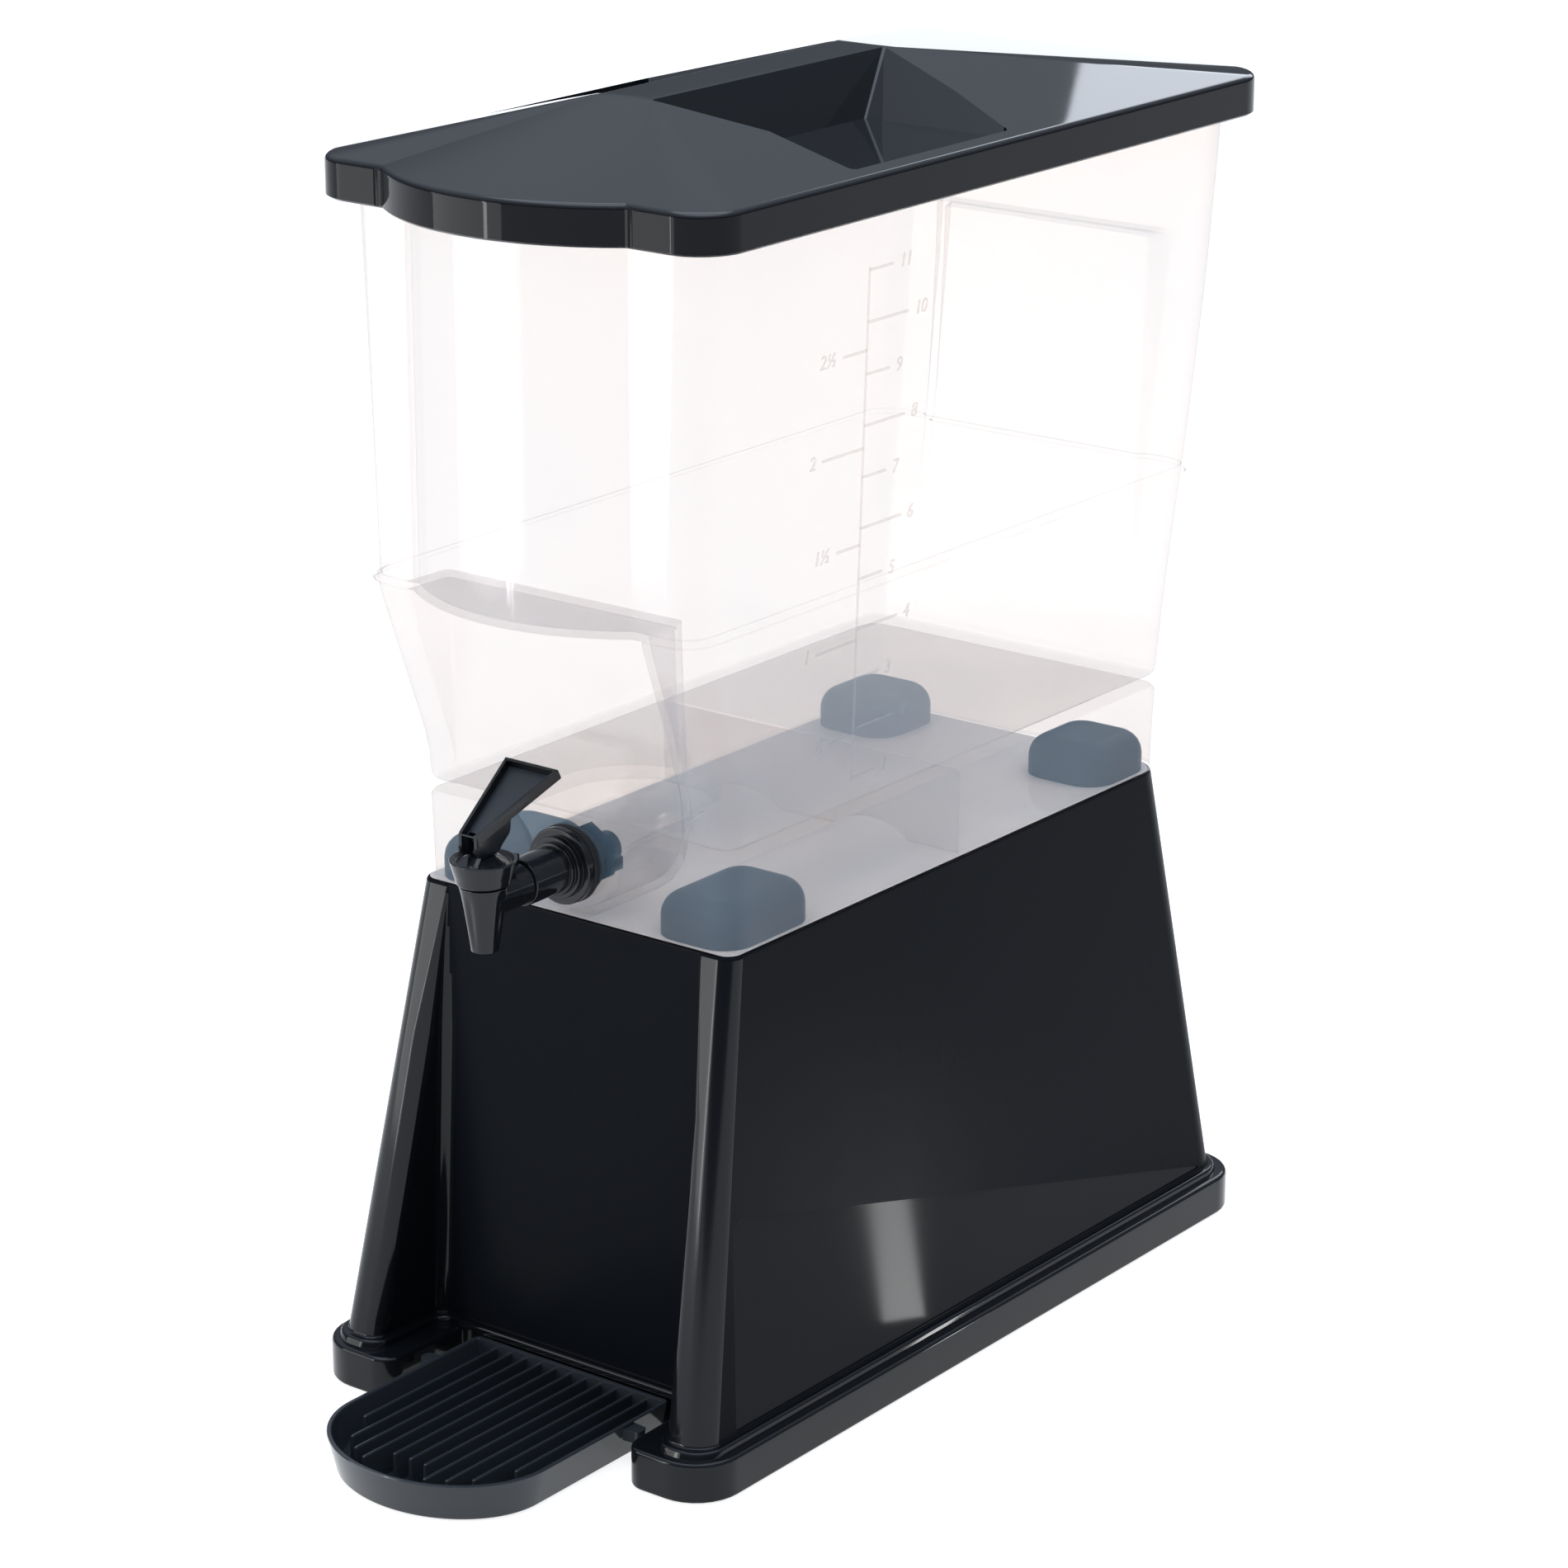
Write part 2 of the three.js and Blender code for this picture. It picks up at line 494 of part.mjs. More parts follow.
function lever() {
  const { lowHalf, highHalf, lowY, lowZ, highY, highZ, thickness } = PADDLE;
  const tilt = Math.atan2(highZ - lowZ, highY - lowY);
  const length = Math.hypot(highZ - lowZ, highY - lowY);
  const end = (half, along, top, tall) => [[half, top], [-half, top], [-half, top - tall], [half, top - tall]]
    .map(([x, z]) => new THREE.Vector3(x, along, z));
  const plate = (margin, top, tall) => prism(end(lowHalf - margin, 0, top, tall),
    end(highHalf - margin, length - margin, top, tall)).rotate([tilt * 180 / Math.PI, 0, 0]).translate([0, lowY, lowZ]);
  const cheeks = prism(...[lowHalf, -lowHalf]
    .map((x) => camOutline().map(([y, z]) => new THREE.Vector3(x, TAP.y + y, PIVOT.z + z))));
  const reach = STEM.eye + 2;
  const channel = box(LEVER_WALL - lowHalf, lowHalf - LEVER_WALL, lowY - 2, TAP.y + reach, PIVOT.z - 12, PIVOT.z + reach);
  return cut(union(plate(0, 0, thickness), cheeks), plate(PADDLE.lip, 1, thickness - PADDLE.floor), channel,
    crossRod(PIVOT.hole, PIVOT.holeLength));
}

// ---------------------------------------------------------------- the assembly
const tankInnerFace = TAP.wallFace + WALL + GAP;
const dispenser = new THREE.Group();
dispenser.add(
  piece('base_shell', baseShell(), BLACK_SATIN),
  piece('drip_tray', dripTray(), BLACK_SATIN),
  piece('tank', tank(), CLEAR),
  piece('lid', lid(), BLACK_GLOSS),
  piece('tap_body', tapBody(), BLACK_GLOSS),
  piece('tap_shank', tapShank(), BLACK_GLOSS),
  piece('tap_bonnet', bonnet(), BLACK_GLOSS),
  piece('tap_stem', stem(), BLACK_SATIN),
  piece('seat_cup', seatCup(), SILICONE),
  piece('tap_lever', lever(), BLACK_SATIN),
  piece('lever_pin', crossRod(PIVOT.pin, PIVOT.length), STEEL),
  piece('outer_washer', washer(WASHERS.outer, SHANK.back + GAP), RUBBER),
  piece('inner_washer', washer(WASHERS.inner, tankInnerFace), RUBBER),
  piece('shank_nut', shankNut(tankInnerFace + WASHERS.inner.thickness + GAP), BLACK_SATIN),
);

export default dispenser;
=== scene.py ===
"""A countertop beverage dispenser: a translucent tank with a lever tap stands on a hollow black base with a
ribbed drip tray, under a roof-shaped lid. Sizes are in millimetres, but in metres in the materials and on the
stage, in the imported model's frame: +Z up, the tap faces -Y, and X = 0 is the plane of symmetry."""
import math

import bmesh
import bpy
from mathutils import Matrix, Vector


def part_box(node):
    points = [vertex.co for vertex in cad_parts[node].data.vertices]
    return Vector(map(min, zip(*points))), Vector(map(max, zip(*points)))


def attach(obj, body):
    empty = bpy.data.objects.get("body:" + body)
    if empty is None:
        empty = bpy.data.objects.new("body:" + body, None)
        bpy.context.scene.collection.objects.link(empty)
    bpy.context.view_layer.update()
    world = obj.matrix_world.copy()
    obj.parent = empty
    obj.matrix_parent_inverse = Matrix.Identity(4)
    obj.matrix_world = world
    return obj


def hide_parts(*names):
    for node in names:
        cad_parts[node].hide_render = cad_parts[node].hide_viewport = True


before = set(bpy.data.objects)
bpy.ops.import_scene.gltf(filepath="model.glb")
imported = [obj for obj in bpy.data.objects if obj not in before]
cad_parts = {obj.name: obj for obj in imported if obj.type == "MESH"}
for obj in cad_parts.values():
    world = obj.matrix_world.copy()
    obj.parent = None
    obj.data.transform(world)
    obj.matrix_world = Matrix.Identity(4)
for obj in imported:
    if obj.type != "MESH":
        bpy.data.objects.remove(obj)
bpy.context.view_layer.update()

MM = 0.001
ARC = 8  # steps in a rounded corner
TURNED_ARC = 4  # the same on a turned piece
FINE = 72  # steps round the turned pieces that show most
MAX_SHARE = 0.49  # of a side that one rounded corner may take
FLAT = 0.3  # degrees: faces that meet at less than this become one


def span(node):
    """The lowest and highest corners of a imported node, in millimetres."""
    low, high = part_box(node)
    return low / MM, high / MM


BASE_LOW, BASE_HIGH = span("base_shell")
TANK_LOW, TANK_HIGH = span("tank")
LID_LOW, LID_HIGH = span("lid")
TRAY_LOW, TRAY_HIGH = span("drip_tray")
SHANK_LOW, SHANK_HIGH = span("tap_shank")
SPOUT_LOW, SPOUT_HIGH = span("tap_body")
BONNET_LOW, BONNET_HIGH = span("tap_bonnet")
TAP_Z = (SHANK_LOW.z + SHANK_HIGH.z) / 2
TAP_Y = (BONNET_LOW.y + BONNET_HIGH.y) / 2
SHANK_AXIS = (0, TAP_Z)  # (x, z)
SPOUT_AXIS = (0, TAP_Y)  # (x, y)


# ---------------------------------------------------------------- mesh tools
def new_object(name, mesh):
    obj = bpy.data.objects.new(name, mesh)
    bpy.context.scene.collection.objects.link(obj)
    return obj


def mesh_from(name, points, faces):
    """A clean mesh object from points in millimetres; coincident points are merged."""
    mesh = bpy.data.meshes.new(name)
    mesh.from_pydata([Vector(point) * MM for point in points], [], faces)
    work = bmesh.new()
    work.from_mesh(mesh)
    bmesh.ops.remove_doubles(work, verts=work.verts, dist=2e-6)
    bmesh.ops.dissolve_degenerate(work, edges=work.edges, dist=1e-7)
    bmesh.ops.recalc_face_normals(work, faces=work.faces)
    work.to_mesh(mesh)
    work.free()
    return new_object(name, mesh)


def loft(name, rings, closed=False):
    """A solid skinned through rings of equally many points; closed joins the last ring to the first."""
    count, levels = len(rings[0]), len(rings)
    faces = []
    for level in range(levels if closed else levels - 1):
        low, high = level * count, (level + 1) % levels * count
        for i in range(count):
            j = (i + 1) % count
            faces.append((low + i, low + j, high + j, high + i))
    if not closed:
        faces.append(tuple(reversed(range(count))))
        faces.append(tuple(range((levels - 1) * count, levels * count)))
    return mesh_from(name, [point for ring in rings for point in ring], faces)


def corner_arc(before, corner, after, radius, steps=ARC):
    """Points of the circular arc that rounds a corner, which takes less than half of either side."""
    corner = Vector(corner)
    toward, away = Vector(before) - corner, Vector(after) - corner
    if radius <= 0 or min(toward.length, away.length) < 1e-6:
        return [corner] * (steps + 1)
    half_angle = toward.angle(away) / 2
    reach = min(radius / math.tan(half_angle), MAX_SHARE * toward.length, MAX_SHARE * away.length)
    start, end = corner + toward.normalized() * reach, corner + away.normalized() * reach
    pull = math.sin(half_angle)
    points = []
    for step in range(steps + 1):
        t = step / steps
        weights = ((1 - t) ** 2, 2 * t * (1 - t) * pull, t ** 2)
        blended = start * weights[0] + corner * weights[1] + end * weights[2]
        points.append(blended / sum(weights))
    return points


def rounded_path(corners, closed=False, steps=ARC):
    """A path through (x, y, radius) corners with each corner rounded; an open path keeps its two ends."""
    flat = [Vector(corner[:2]) for corner in corners]
    points = []
    for i, (x, y, radius) in enumerate(corners):
        if not closed and i in (0, len(corners) - 1):
            points.append(Vector((x, y)))
        else:
            following = flat[(i + 1) % len(flat)]
            points += corner_arc(flat[i - 1], (x, y), following, radius, steps)
    return points


def mirrored_ring(half_path, z):
    """A whole outline at a height from its right half, which runs from the front centre to the back."""
    left = [(-x, y) for x, y in reversed(half_path[1:-1])]
    return [(x, y, z) for x, y in [*half_path, *left]]


def lathe(name, corners, axis="Z", centre=(0, 0), steps=64, closed=False):
    """A turned solid from (radius, distance, fillet) corners, about a Z or a Y axis through a centre."""
    path = rounded_path(corners, closed, TURNED_ARC)
    rings = []
    for radius, distance in path:
        ring = []
        for step in range(steps):
            angle = 2 * math.pi * step / steps
            u, v = radius * math.cos(angle), radius * math.sin(angle)
            if axis == "Z":
                ring.append((centre[0] + u, centre[1] + v, distance))
            else:
                ring.append((centre[0] + u, distance, centre[1] + v))
        rings.append(ring)
    return loft(name, rings, closed)


def slab(name, outline, low, high, axis="X"):
    """A straight prism: an outline in the other two axes, from low to high along the named one."""
    at = "XYZ".index(axis)
    ends = [[(*point[:at], distance, *point[at:]) for point in outline] for distance in (low, high)]
    return loft(name, ends)


def box(name, low, high):
    corners = [(low[0], low[1]), (high[0], low[1]), (high[0], high[1]), (low[0], high[1])]
    return slab(name, corners, low[2], high[2], "Z")


def apply_modifiers(obj):
    bpy.context.view_layer.update()
    graph = bpy.context.evaluated_depsgraph_get()
    baked = bpy.data.meshes.new_from_object(obj.evaluated_get(graph))
    obj.modifiers.clear()
    obj.data = baked


def combine(obj, operation, *tools):
    """Joins tools to obj (UNION) or cuts them from it (DIFFERENCE), one after another, and uses them up."""
    for tool in tools:
        modifier = obj.modifiers.new("combine", "BOOLEAN")
        modifier.operation = operation
        modifier.object = tool
        modifier.solver = "EXACT"
        apply_modifiers(obj)
        bpy.data.objects.remove(tool)


def soften(obj, width=0.0, segments=3, limit=40, sharp=32):
    """Rounds edges sharper than limit degrees, then shades smoothly across those blunter than sharp."""
    if width:
        work = bmesh.new()
        work.from_mesh(obj.data)
        bmesh.ops.dissolve_limit(work, angle_limit=math.radians(FLAT), verts=work.verts, edges=work.edges)
        work.to_mesh(obj.data)
        work.free()
        bevel = obj.modifiers.new("edges", "BEVEL")
        bevel.width = width * MM
        bevel.segments = segments
        bevel.limit_method = "ANGLE"
        bevel.angle_limit = math.radians(limit)
        bevel.use_clamp_overlap = True
        apply_modifiers(obj)
    obj.data.shade_smooth()
    obj.data.set_sharp_from_angle(angle=math.radians(sharp))
    normals = obj.modifiers.new("normals", "WEIGHTED_NORMAL")
    normals.keep_sharp = True
    apply_modifiers(obj)


def join(name, parts):
    """One object from several."""
    work = bmesh.new()
    for part in parts:
        piece = part.data.copy()
        piece.transform(part.matrix_world)
        work.from_mesh(piece)
        bpy.data.objects.remove(part)
    mesh = bpy.data.meshes.new(name)
    work.to_mesh(mesh)
    work.free()
    return new_object(name, mesh)


def place(obj, body, slot, material, *nodes):
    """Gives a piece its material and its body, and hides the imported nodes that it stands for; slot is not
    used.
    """
    if not obj.data.materials:
        obj.data.materials.append(material)
    for index, used in enumerate(obj.data.materials):
        if used is None:
            obj.data.materials[index] = material
    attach(obj, body)
    if nodes:
        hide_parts(*nodes)


def mix(start, end, t):
    return start + (end - start) * t


def along(profile, height):
    """The value at a height on a list of (height, value) points, straight between them."""
    if height <= profile[0][0]:
        return profile[0][1]
    for (z0, v0), (z1, v1) in zip(profile, profile[1:]):
        if height <= z1:
            return mix(v0, v1, (height - z0) / (z1 - z0))
    return profile[-1][1]


def eased(profile, height, reach=9.0, samples=7):
    """The value that along() gives with its kinks rounded, by averaging over the heights within reach."""
    offsets = [reach * (2 * i / (samples - 1) - 1) for i in range(samples)]
    return sum(along(profile, height + offset) for offset in offsets) / samples


# ---------------------------------------------------------------- materials
def set_inputs(node, inputs):
    """Sets plain socket values by name, with _ for a space, and returns the node."""
    for key, value in inputs.items():
        node.inputs[key.replace("_", " ")].default_value = value
    return node


def shader(name, **inputs):
    """A Principled material with plain socket values; returns it with its nodes, links and shader."""
    material = bpy.data.materials.new(name)
    material.use_nodes = True
    nodes, links = material.node_tree.nodes, material.node_tree.links
    return material, nodes, links, set_inputs(nodes["Principled BSDF"], inputs)


def add_node(nodes, kind, **inputs):
    return set_inputs(nodes.new("ShaderNode" + kind), inputs)


def object_noise(nodes, links, scale, detail=3.0, stretch=(1, 1, 1)):
    """Noise fixed to the piece, in metres: scale is its waves per metre."""
    where = add_node(nodes, "TexCoord")
    mapping = add_node(nodes, "Mapping", Scale=stretch)
    noise = add_node(nodes, "TexNoise", Scale=scale, Detail=detail)
    links.new(where.outputs["Object"], mapping.inputs["Vector"])
    links.new(mapping.outputs["Vector"], noise.inputs["Vector"])
    return noise.outputs["Fac"]


def map_range(nodes, first, last, low, high):
    """A node that turns values from first to last into values from low to high."""
    return add_node(nodes, "MapRange", From_Min=first, From_Max=last, To_Min=low, To_Max=high)


def remap(nodes, links, noise, low, high):
    """Noise, which mostly stays between 0.3 and 0.7, spread from low to high."""
    ramp = map_range(nodes, 0.3, 0.7, low, high)
    links.new(noise, ramp.inputs["Value"])
    return ramp.outputs["Result"]


def bump(nodes, links, principled, height, strength, distance):
    relief = add_node(nodes, "Bump", Strength=strength, Distance=distance)
    links.new(height, relief.inputs["Height"])
    links.new(relief.outputs["Normal"], principled.inputs["Normal"])


FLOW_WAVES, GRAIN_WAVES = 14.0, 2600.0  # per metre
GRAIN_HEIGHT = 0.00004


def black_plastic(name, roughness, grain, specular, tint):
    """Moulded black plastic: slow roughness drift from moulding flow, over a fine grain."""
    material, nodes, links, principled = shader(name, Base_Color=(*tint, 1), Specular_IOR_Level=specular)
    flow = object_noise(nodes, links, FLOW_WAVES, 4.0, (1, 1, 0.35))
    links.new(remap(nodes, links, flow, roughness * 0.82, roughness * 1.2), principled.inputs["Roughness"])
    fine = object_noise(nodes, links, GRAIN_WAVES, 2.0)
    bump(nodes, links, principled, fine, grain, GRAIN_HEIGHT)
    return material


def mix_shaders(nodes, links, first, second):
    blend = add_node(nodes, "MixShader")
    links.new(first.outputs[0], blend.inputs[1])
    links.new(second.outputs[0], blend.inputs[2])
    return blend


TANK_CLEAR = (1.0, 0.961, 0.925, 1)  # what one face of the wall leaves of white light
TANK_GLOSS = (0.66, 0.66, 0.68, 1)
RIM_POWER = 5.5  # how steeply the gloss rises towards a wall seen edge on
RIM_GLOSS = (0.03, 0.6)  # its share face on and edge on


def tank_plastic(name, haze, tint):
    """Milky polypropylene: warm light comes straight through, a share of it, the haze, is scattered in the
    tint, and the surface is glossy. The wall has two faces, so each face does half of a wall's work."""
    material, nodes, links, principled = shader(
        name, Base_Color=(*tint, 1), Roughness=0.3, Specular_IOR_Level=0.3)
    clear = add_node(nodes, "BsdfTransparent", Color=TANK_CLEAR)
    glow = add_node(nodes, "BsdfTranslucent", Color=(*tint, 1))
    gloss = add_node(nodes, "BsdfGlossy", Roughness=0.07, Color=TANK_GLOSS)
    facing = add_node(nodes, "LayerWeight", Blend=0.5)
    steep = add_node(nodes, "Math")
    steep.operation = "POWER"
    steep.inputs[1].default_value = RIM_POWER
    rim = map_range(nodes, 0, 1, *RIM_GLOSS)
    milk = mix_shaders(nodes, links, principled, glow)
    film = mix_shaders(nodes, links, clear, milk)
    surface = mix_shaders(nodes, links, film, gloss)
    cloud = object_noise(nodes, links, 9.0, 3.0)
    links.new(remap(nodes, links, cloud, haze * 0.9, haze * 1.1), film.inputs["Fac"])
    links.new(facing.outputs["Facing"], steep.inputs[0])
    links.new(steep.outputs[0], rim.inputs["Value"])
    links.new(rim.outputs["Result"], surface.inputs["Fac"])
    links.new(surface.outputs["Shader"], nodes["Material Output"].inputs["Surface"])
    fine = object_noise(nodes, links, 40.0, 2.0)
    bump(nodes, links, gloss, fine, 0.06, 0.001)
    return material


def silicone():
    """Matt off-white rubber with a fine unevenness."""
    material, nodes, links, principled = shader("silicone", Base_Color=(0.72, 0.69, 0.64, 1), Roughness=0.55)
    bump(nodes, links, principled, object_noise(nodes, links, 900.0), 0.15, 0.0001)
    return material


def pale_plate():
    """The plate under the tank, black plastic painted pale and glossy: a painted glow that stands in for the
    light the milky tank scatters onto it, as it shows through the skirt.
    """
    material, nodes, links, principled = shader("painted_glow_gloss_plate", Roughness=0.08)
    # painted glow: random patches of warmer and cooler pale tone across the plate
    glow_patches = object_noise(nodes, links, 16.0, 2.0, (1, 0.4, 1))
    tone = add_node(nodes, "Mix")
    tone.data_type = "RGBA"
    first_colour, second_colour, result = tone.inputs[6], tone.inputs[7], tone.outputs[2]
    first_colour.default_value = (0.78, 0.77, 0.77, 1)
    second_colour.default_value = (0.96, 0.90, 0.86, 1)
    links.new(remap(nodes, links, glow_patches, 0.0, 1.0), tone.inputs["Factor"])
    links.new(result, principled.inputs["Base Color"])
    bump(nodes, links, principled, object_noise(nodes, links, 30.0, 2.0), 0.3, 0.002)
    return material


def steel():
    """Drawn steel, brushed along the pin."""
    material, nodes, links, principled = shader("pin_steel", Base_Color=(0.6, 0.61, 0.62, 1), Metallic=1.0)
    brushed = object_noise(nodes, links, 1500.0, 3.0, (0.1, 1, 1))
    links.new(remap(nodes, links, brushed, 0.22, 0.38), principled.inputs["Roughness"])
    return material


# name, roughness, grain, specular level, colour
SATIN = black_plastic("satin_black_base", 0.30, 0.5, 0.025, (0.0048, 0.0058, 0.0078))
POLISHED = black_plastic("polished_black_panel", 0.08, 0.05, 0.06, (0.0048, 0.0058, 0.0072))
COLUMN = black_plastic("polished_black_column", 0.09, 0.04, 0.25, (0.0042, 0.005, 0.0065))
LID_RIM = black_plastic("lid_rim", 0.04, 0.03, 0.12, (0.005, 0.0055, 0.007))
LID_BLACK = black_plastic("lid_black", 0.04, 0.03, 0.45, (0.0045, 0.0057, 0.008))
TRAY_BLACK = black_plastic("tray_black", 0.12, 0.08, 0.35, (0.026, 0.030, 0.035))
TAP_BLACK = black_plastic("tap_black", 0.12, 0.08, 0.35, (0.0065, 0.0075, 0.0092))
STIPPLED = black_plastic("stippled_lever_face", 0.42, 1.0, 0.4, (0.018, 0.0225, 0.03))
RUBBER = black_plastic("washer_rubber", 0.6, 0.8, 0.3, (0.014, 0.014, 0.015))
MILKY = tank_plastic("milky_tank_plastic", 0.095, (0.43, 0.70, 0.97))
THICK_MILKY = tank_plastic("milky_floor_plastic", 0.2, (0.92, 0.94, 0.97))
SILICONE = silicone()
STEEL = steel()
# painted pale glow for the top of the black base plate
PAINTED_GLOW = pale_plate()


def finish_faces(obj, finishes, finish_of):
    """Gives an object its finishes, and each of its faces the one that finish_of says."""
    for material in finishes:
        obj.data.materials.append(material)
    for face in obj.data.polygons:
        face.material_index = finishes.index(finish_of(face))


# ---------------------------------------------------------------- base
BASE_TOP = 208.0
BASE_WALL = 3.0
FLANGE_TOP = 17.0
PLINTH_TOP = 20.0
FRONT_WALL = -109.4  # where the recess in front of the base ends
# A section has a half width, a front, a back and a corner radius. Between its columns a recess of some half
# width goes back to a wall, with an inner corner of radius pit and an outer one of radius nose.
FLANGE = {"half": BASE_HIGH.x, "front": BASE_LOW.y, "back": BASE_HIGH.y, "radius": 22.5,
          "recess": 60.5, "wall": FRONT_WALL, "pit": 4.0, "nose": 9.5}
FOOT = {"half": 95.0, "front": -149.0, "back": 221.0, "radius": 15.5,
        "recess": 74.0, "wall": FRONT_WALL, "pit": 10.0, "nose": 7.0}
SHOULDER = {"half": 79.2, "front": FRONT_WALL, "back": 191.0, "radius": 15.6,
            "recess": 64.0, "wall": FRONT_WALL, "pit": 10.0, "nose": 7.0}
FACE_STEPS = 12  # points across half of a section's front
INSIDE_HEIGHTS = (205, 160, 110, 60, 0)
# (height, inset) up the outside: the flange that the base stands on, then the plinth, walls and top edge
FLANGE_EDGE = [(0, 1.2), (0.5, 0.4), (1.3, 0), (15.2, 0), (16.0, 0.2), (16.6, 0.7), (16.9, 1.3),
               (FLANGE_TOP, 2.0)]
WALL_EDGE = [(FLANGE_TOP, -3.2), (18.9, -3.0), (19.6, -2.7), (PLINTH_TOP, -2.0), (PLINTH_TOP, -0.9),
             (20.3, -0.3), (21.0, 0), (45, 0), (70, 0), (95, 0), (120, 0), (145, 0), (170, 0), (190, 0),
             (204, 0), (206.6, 0), (207.6, 0.35), (BASE_TOP, 1.2)]
RELIEF_CORNERS = [(-119.5, 106.5, 7.0), (-127.0, 21.5, 0.5), (206.0, 21.5, 0.5)]  # (y, z, radius)
RELIEF_DEPTH = {"low": 0.5, "high": 2.1, "rise": 86}  # at the plinth, and at a rise above it
POST = {"inner": 35.0, "outer": 76.0, "radius": 13.0, "root": BASE_TOP - 1.5, "top": BASE_HIGH.z}
POST_SPANS = [(-106.0, -50.0), (143.5, 187.0)]  # each post's front and back
POST_DOME = [(0, 9), (0.5, 6.6), (1.6, 4.3), (3.3, 2.4), (5.4, 1.0), (7.8, 0.25), (10.2, 0)]  # (inset, drop)


def half_section(shape, inset=0.0):
    """Right half of a horizontal section, from the front centre to the back centre, shrunk by an inset.
    With a bow the front is an arc between the columns; otherwise it is a recessed wall between them."""
    half, front, back = shape["half"] - inset, shape["front"] + inset, shape["back"] - inset
    if "bow" in shape:
        radius, centre = shape["bow"][0] - inset, shape["bow"][1]
        side = math.sqrt(radius ** 2 - (centre - front) ** 2)
        across = [side * i / FACE_STEPS for i in range(FACE_STEPS)]
        face = [(x, centre - math.sqrt(radius ** 2 - x ** 2)) for x in across]
        last = side * 11.6 / FACE_STEPS
        inner = [(last, centre - math.sqrt(radius ** 2 - last ** 2), 0.3), (side, front, 0.6)]
    else:
        side, wall = shape["recess"] + inset, shape["wall"] + inset
        face = [(side * 0.9 * i / FACE_STEPS, wall) for i in range(FACE_STEPS)]
        nose = (side + 0.5, min(front, wall), max(shape["nose"] - inset, 0.4))
        inner = [(side - 0.5, wall, shape["pit"] + inset), nose]
    radius = max(shape["radius"] - inset, 0.5)
    grip, depth = shape.get("grip", (45.0, 0.0))  # without a grip these points lie flat on the back
    corners = [(*face[-1], 0), *inner, (half, front, radius), (half, back, radius),
               (grip + inset + 1, back, 2.0), (grip + inset - 1, back - depth, 2.0), (0, back - depth, 0)]
    return [Vector(point) for point in face[:-1]] + rounded_path(corners)


def base_section(z):
    """The section of the base's walls, which lean in from the foot to the shoulder."""
    t = (z - FLANGE_TOP) / (BASE_TOP - FLANGE_TOP)
    return {key: mix(FOOT[key], SHOULDER[key], t) for key in FOOT}


def base_ring(z, inset=0.0):
    return mirrored_ring(half_section(base_section(z), inset), z)


def flange_ring(z, inset=0.0):
    return mirrored_ring(half_section(FLANGE, inset), z)


def post(x_side, front, back):
    """One upright post with a domed top; x_side is 1 on the right and -1 on the left."""
    rings = []
    for inset, z in [(0, POST["root"]), *((inset, POST["top"] - drop) for inset, drop in POST_DOME)]:
        x0, x1 = sorted((x_side * (POST["inner"] + inset), x_side * (POST["outer"] - inset)))
        radius = max(POST["radius"] - inset, 2)
        corners = [(x0, front + inset, radius), (x1, front + inset, radius),
                   (x1, back - inset, radius), (x0, back - inset, radius)]
        rings.append([(x, y, z) for x, y in rounded_path(corners, closed=True)])
    return loft("post", rings)


def relief_tool(x_side):
    """What is cut away for the shallow relief on one side wall; it is deepest along its upper edge."""
    outline = rounded_path(RELIEF_CORNERS, closed=True)

    def wall(z):
        return base_section(z)["half"]

    def depth(z):
        return mix(RELIEF_DEPTH["low"], RELIEF_DEPTH["high"], (z - PLINTH_TOP) / RELIEF_DEPTH["rise"])

    outer = [(x_side * (wall(z) + 8), y, z) for y, z in outline]
    inner = [(x_side * (wall(z) - depth(z)), y, z) for y, z in outline]
    return loft("relief", [inner, outer] if x_side > 0 else [outer, inner])


def base_finish(face):
    """The finish of one of the base's faces, from where it is and which way it looks."""
    x, y, z = face.center / MM
    half = base_section(z)["half"]
    on_side = abs(x) > half - 2.6 and abs(face.normal.x) > 0.9
    on_column = y < SHOULDER["front"] - 0.5 and z > PLINTH_TOP
    # the top of the plate between the posts gets the painted pale glow; the rest of the base stays black
    if face.normal.z > 0.95 and BASE_TOP - 0.2 < z < BASE_TOP + 0.5:
        return PAINTED_GLOW
    if z < PLINTH_TOP or on_column:
        return COLUMN
    if on_side and abs(x) < half - 0.3 and z < 110:
        return POLISHED
    return SATIN


def base_shell():
    inside = [base_ring(z, BASE_WALL) for z in INSIDE_HEIGHTS]
    flange = [flange_ring(z, inset) for z, inset in FLANGE_EDGE]
    walls = [base_ring(z, inset) for z, inset in WALL_EDGE]
    shell = loft("base", inside + flange + walls)
    combine(shell, "DIFFERENCE", relief_tool(1), relief_tool(-1))
    posts = [post(side, *span_y) for side in (1, -1) for span_y in POST_SPANS]
    combine(shell, "UNION", *posts)
    soften(shell, 0.7, 3, 46, 40)
    finish_faces(shell, (SATIN, POLISHED, COLUMN, PAINTED_GLOW), base_finish)
    place(shell, "base", "base_plastic", SATIN, "base_shell")


# ---------------------------------------------------------------- drip tray
TRAY_WALL = 2.2
TRAY_FLOOR = 2.5
TRAY_HALF = (46.6, 50.5)  # half width at the bottom and at the rim
TRAY_LEAN = 0.24  # how far the front leans out, per millimetre up
TRAY_CENTRE = -190.0  # where the straight sides end and the elliptical front begins
TRAY_STEPS = 24
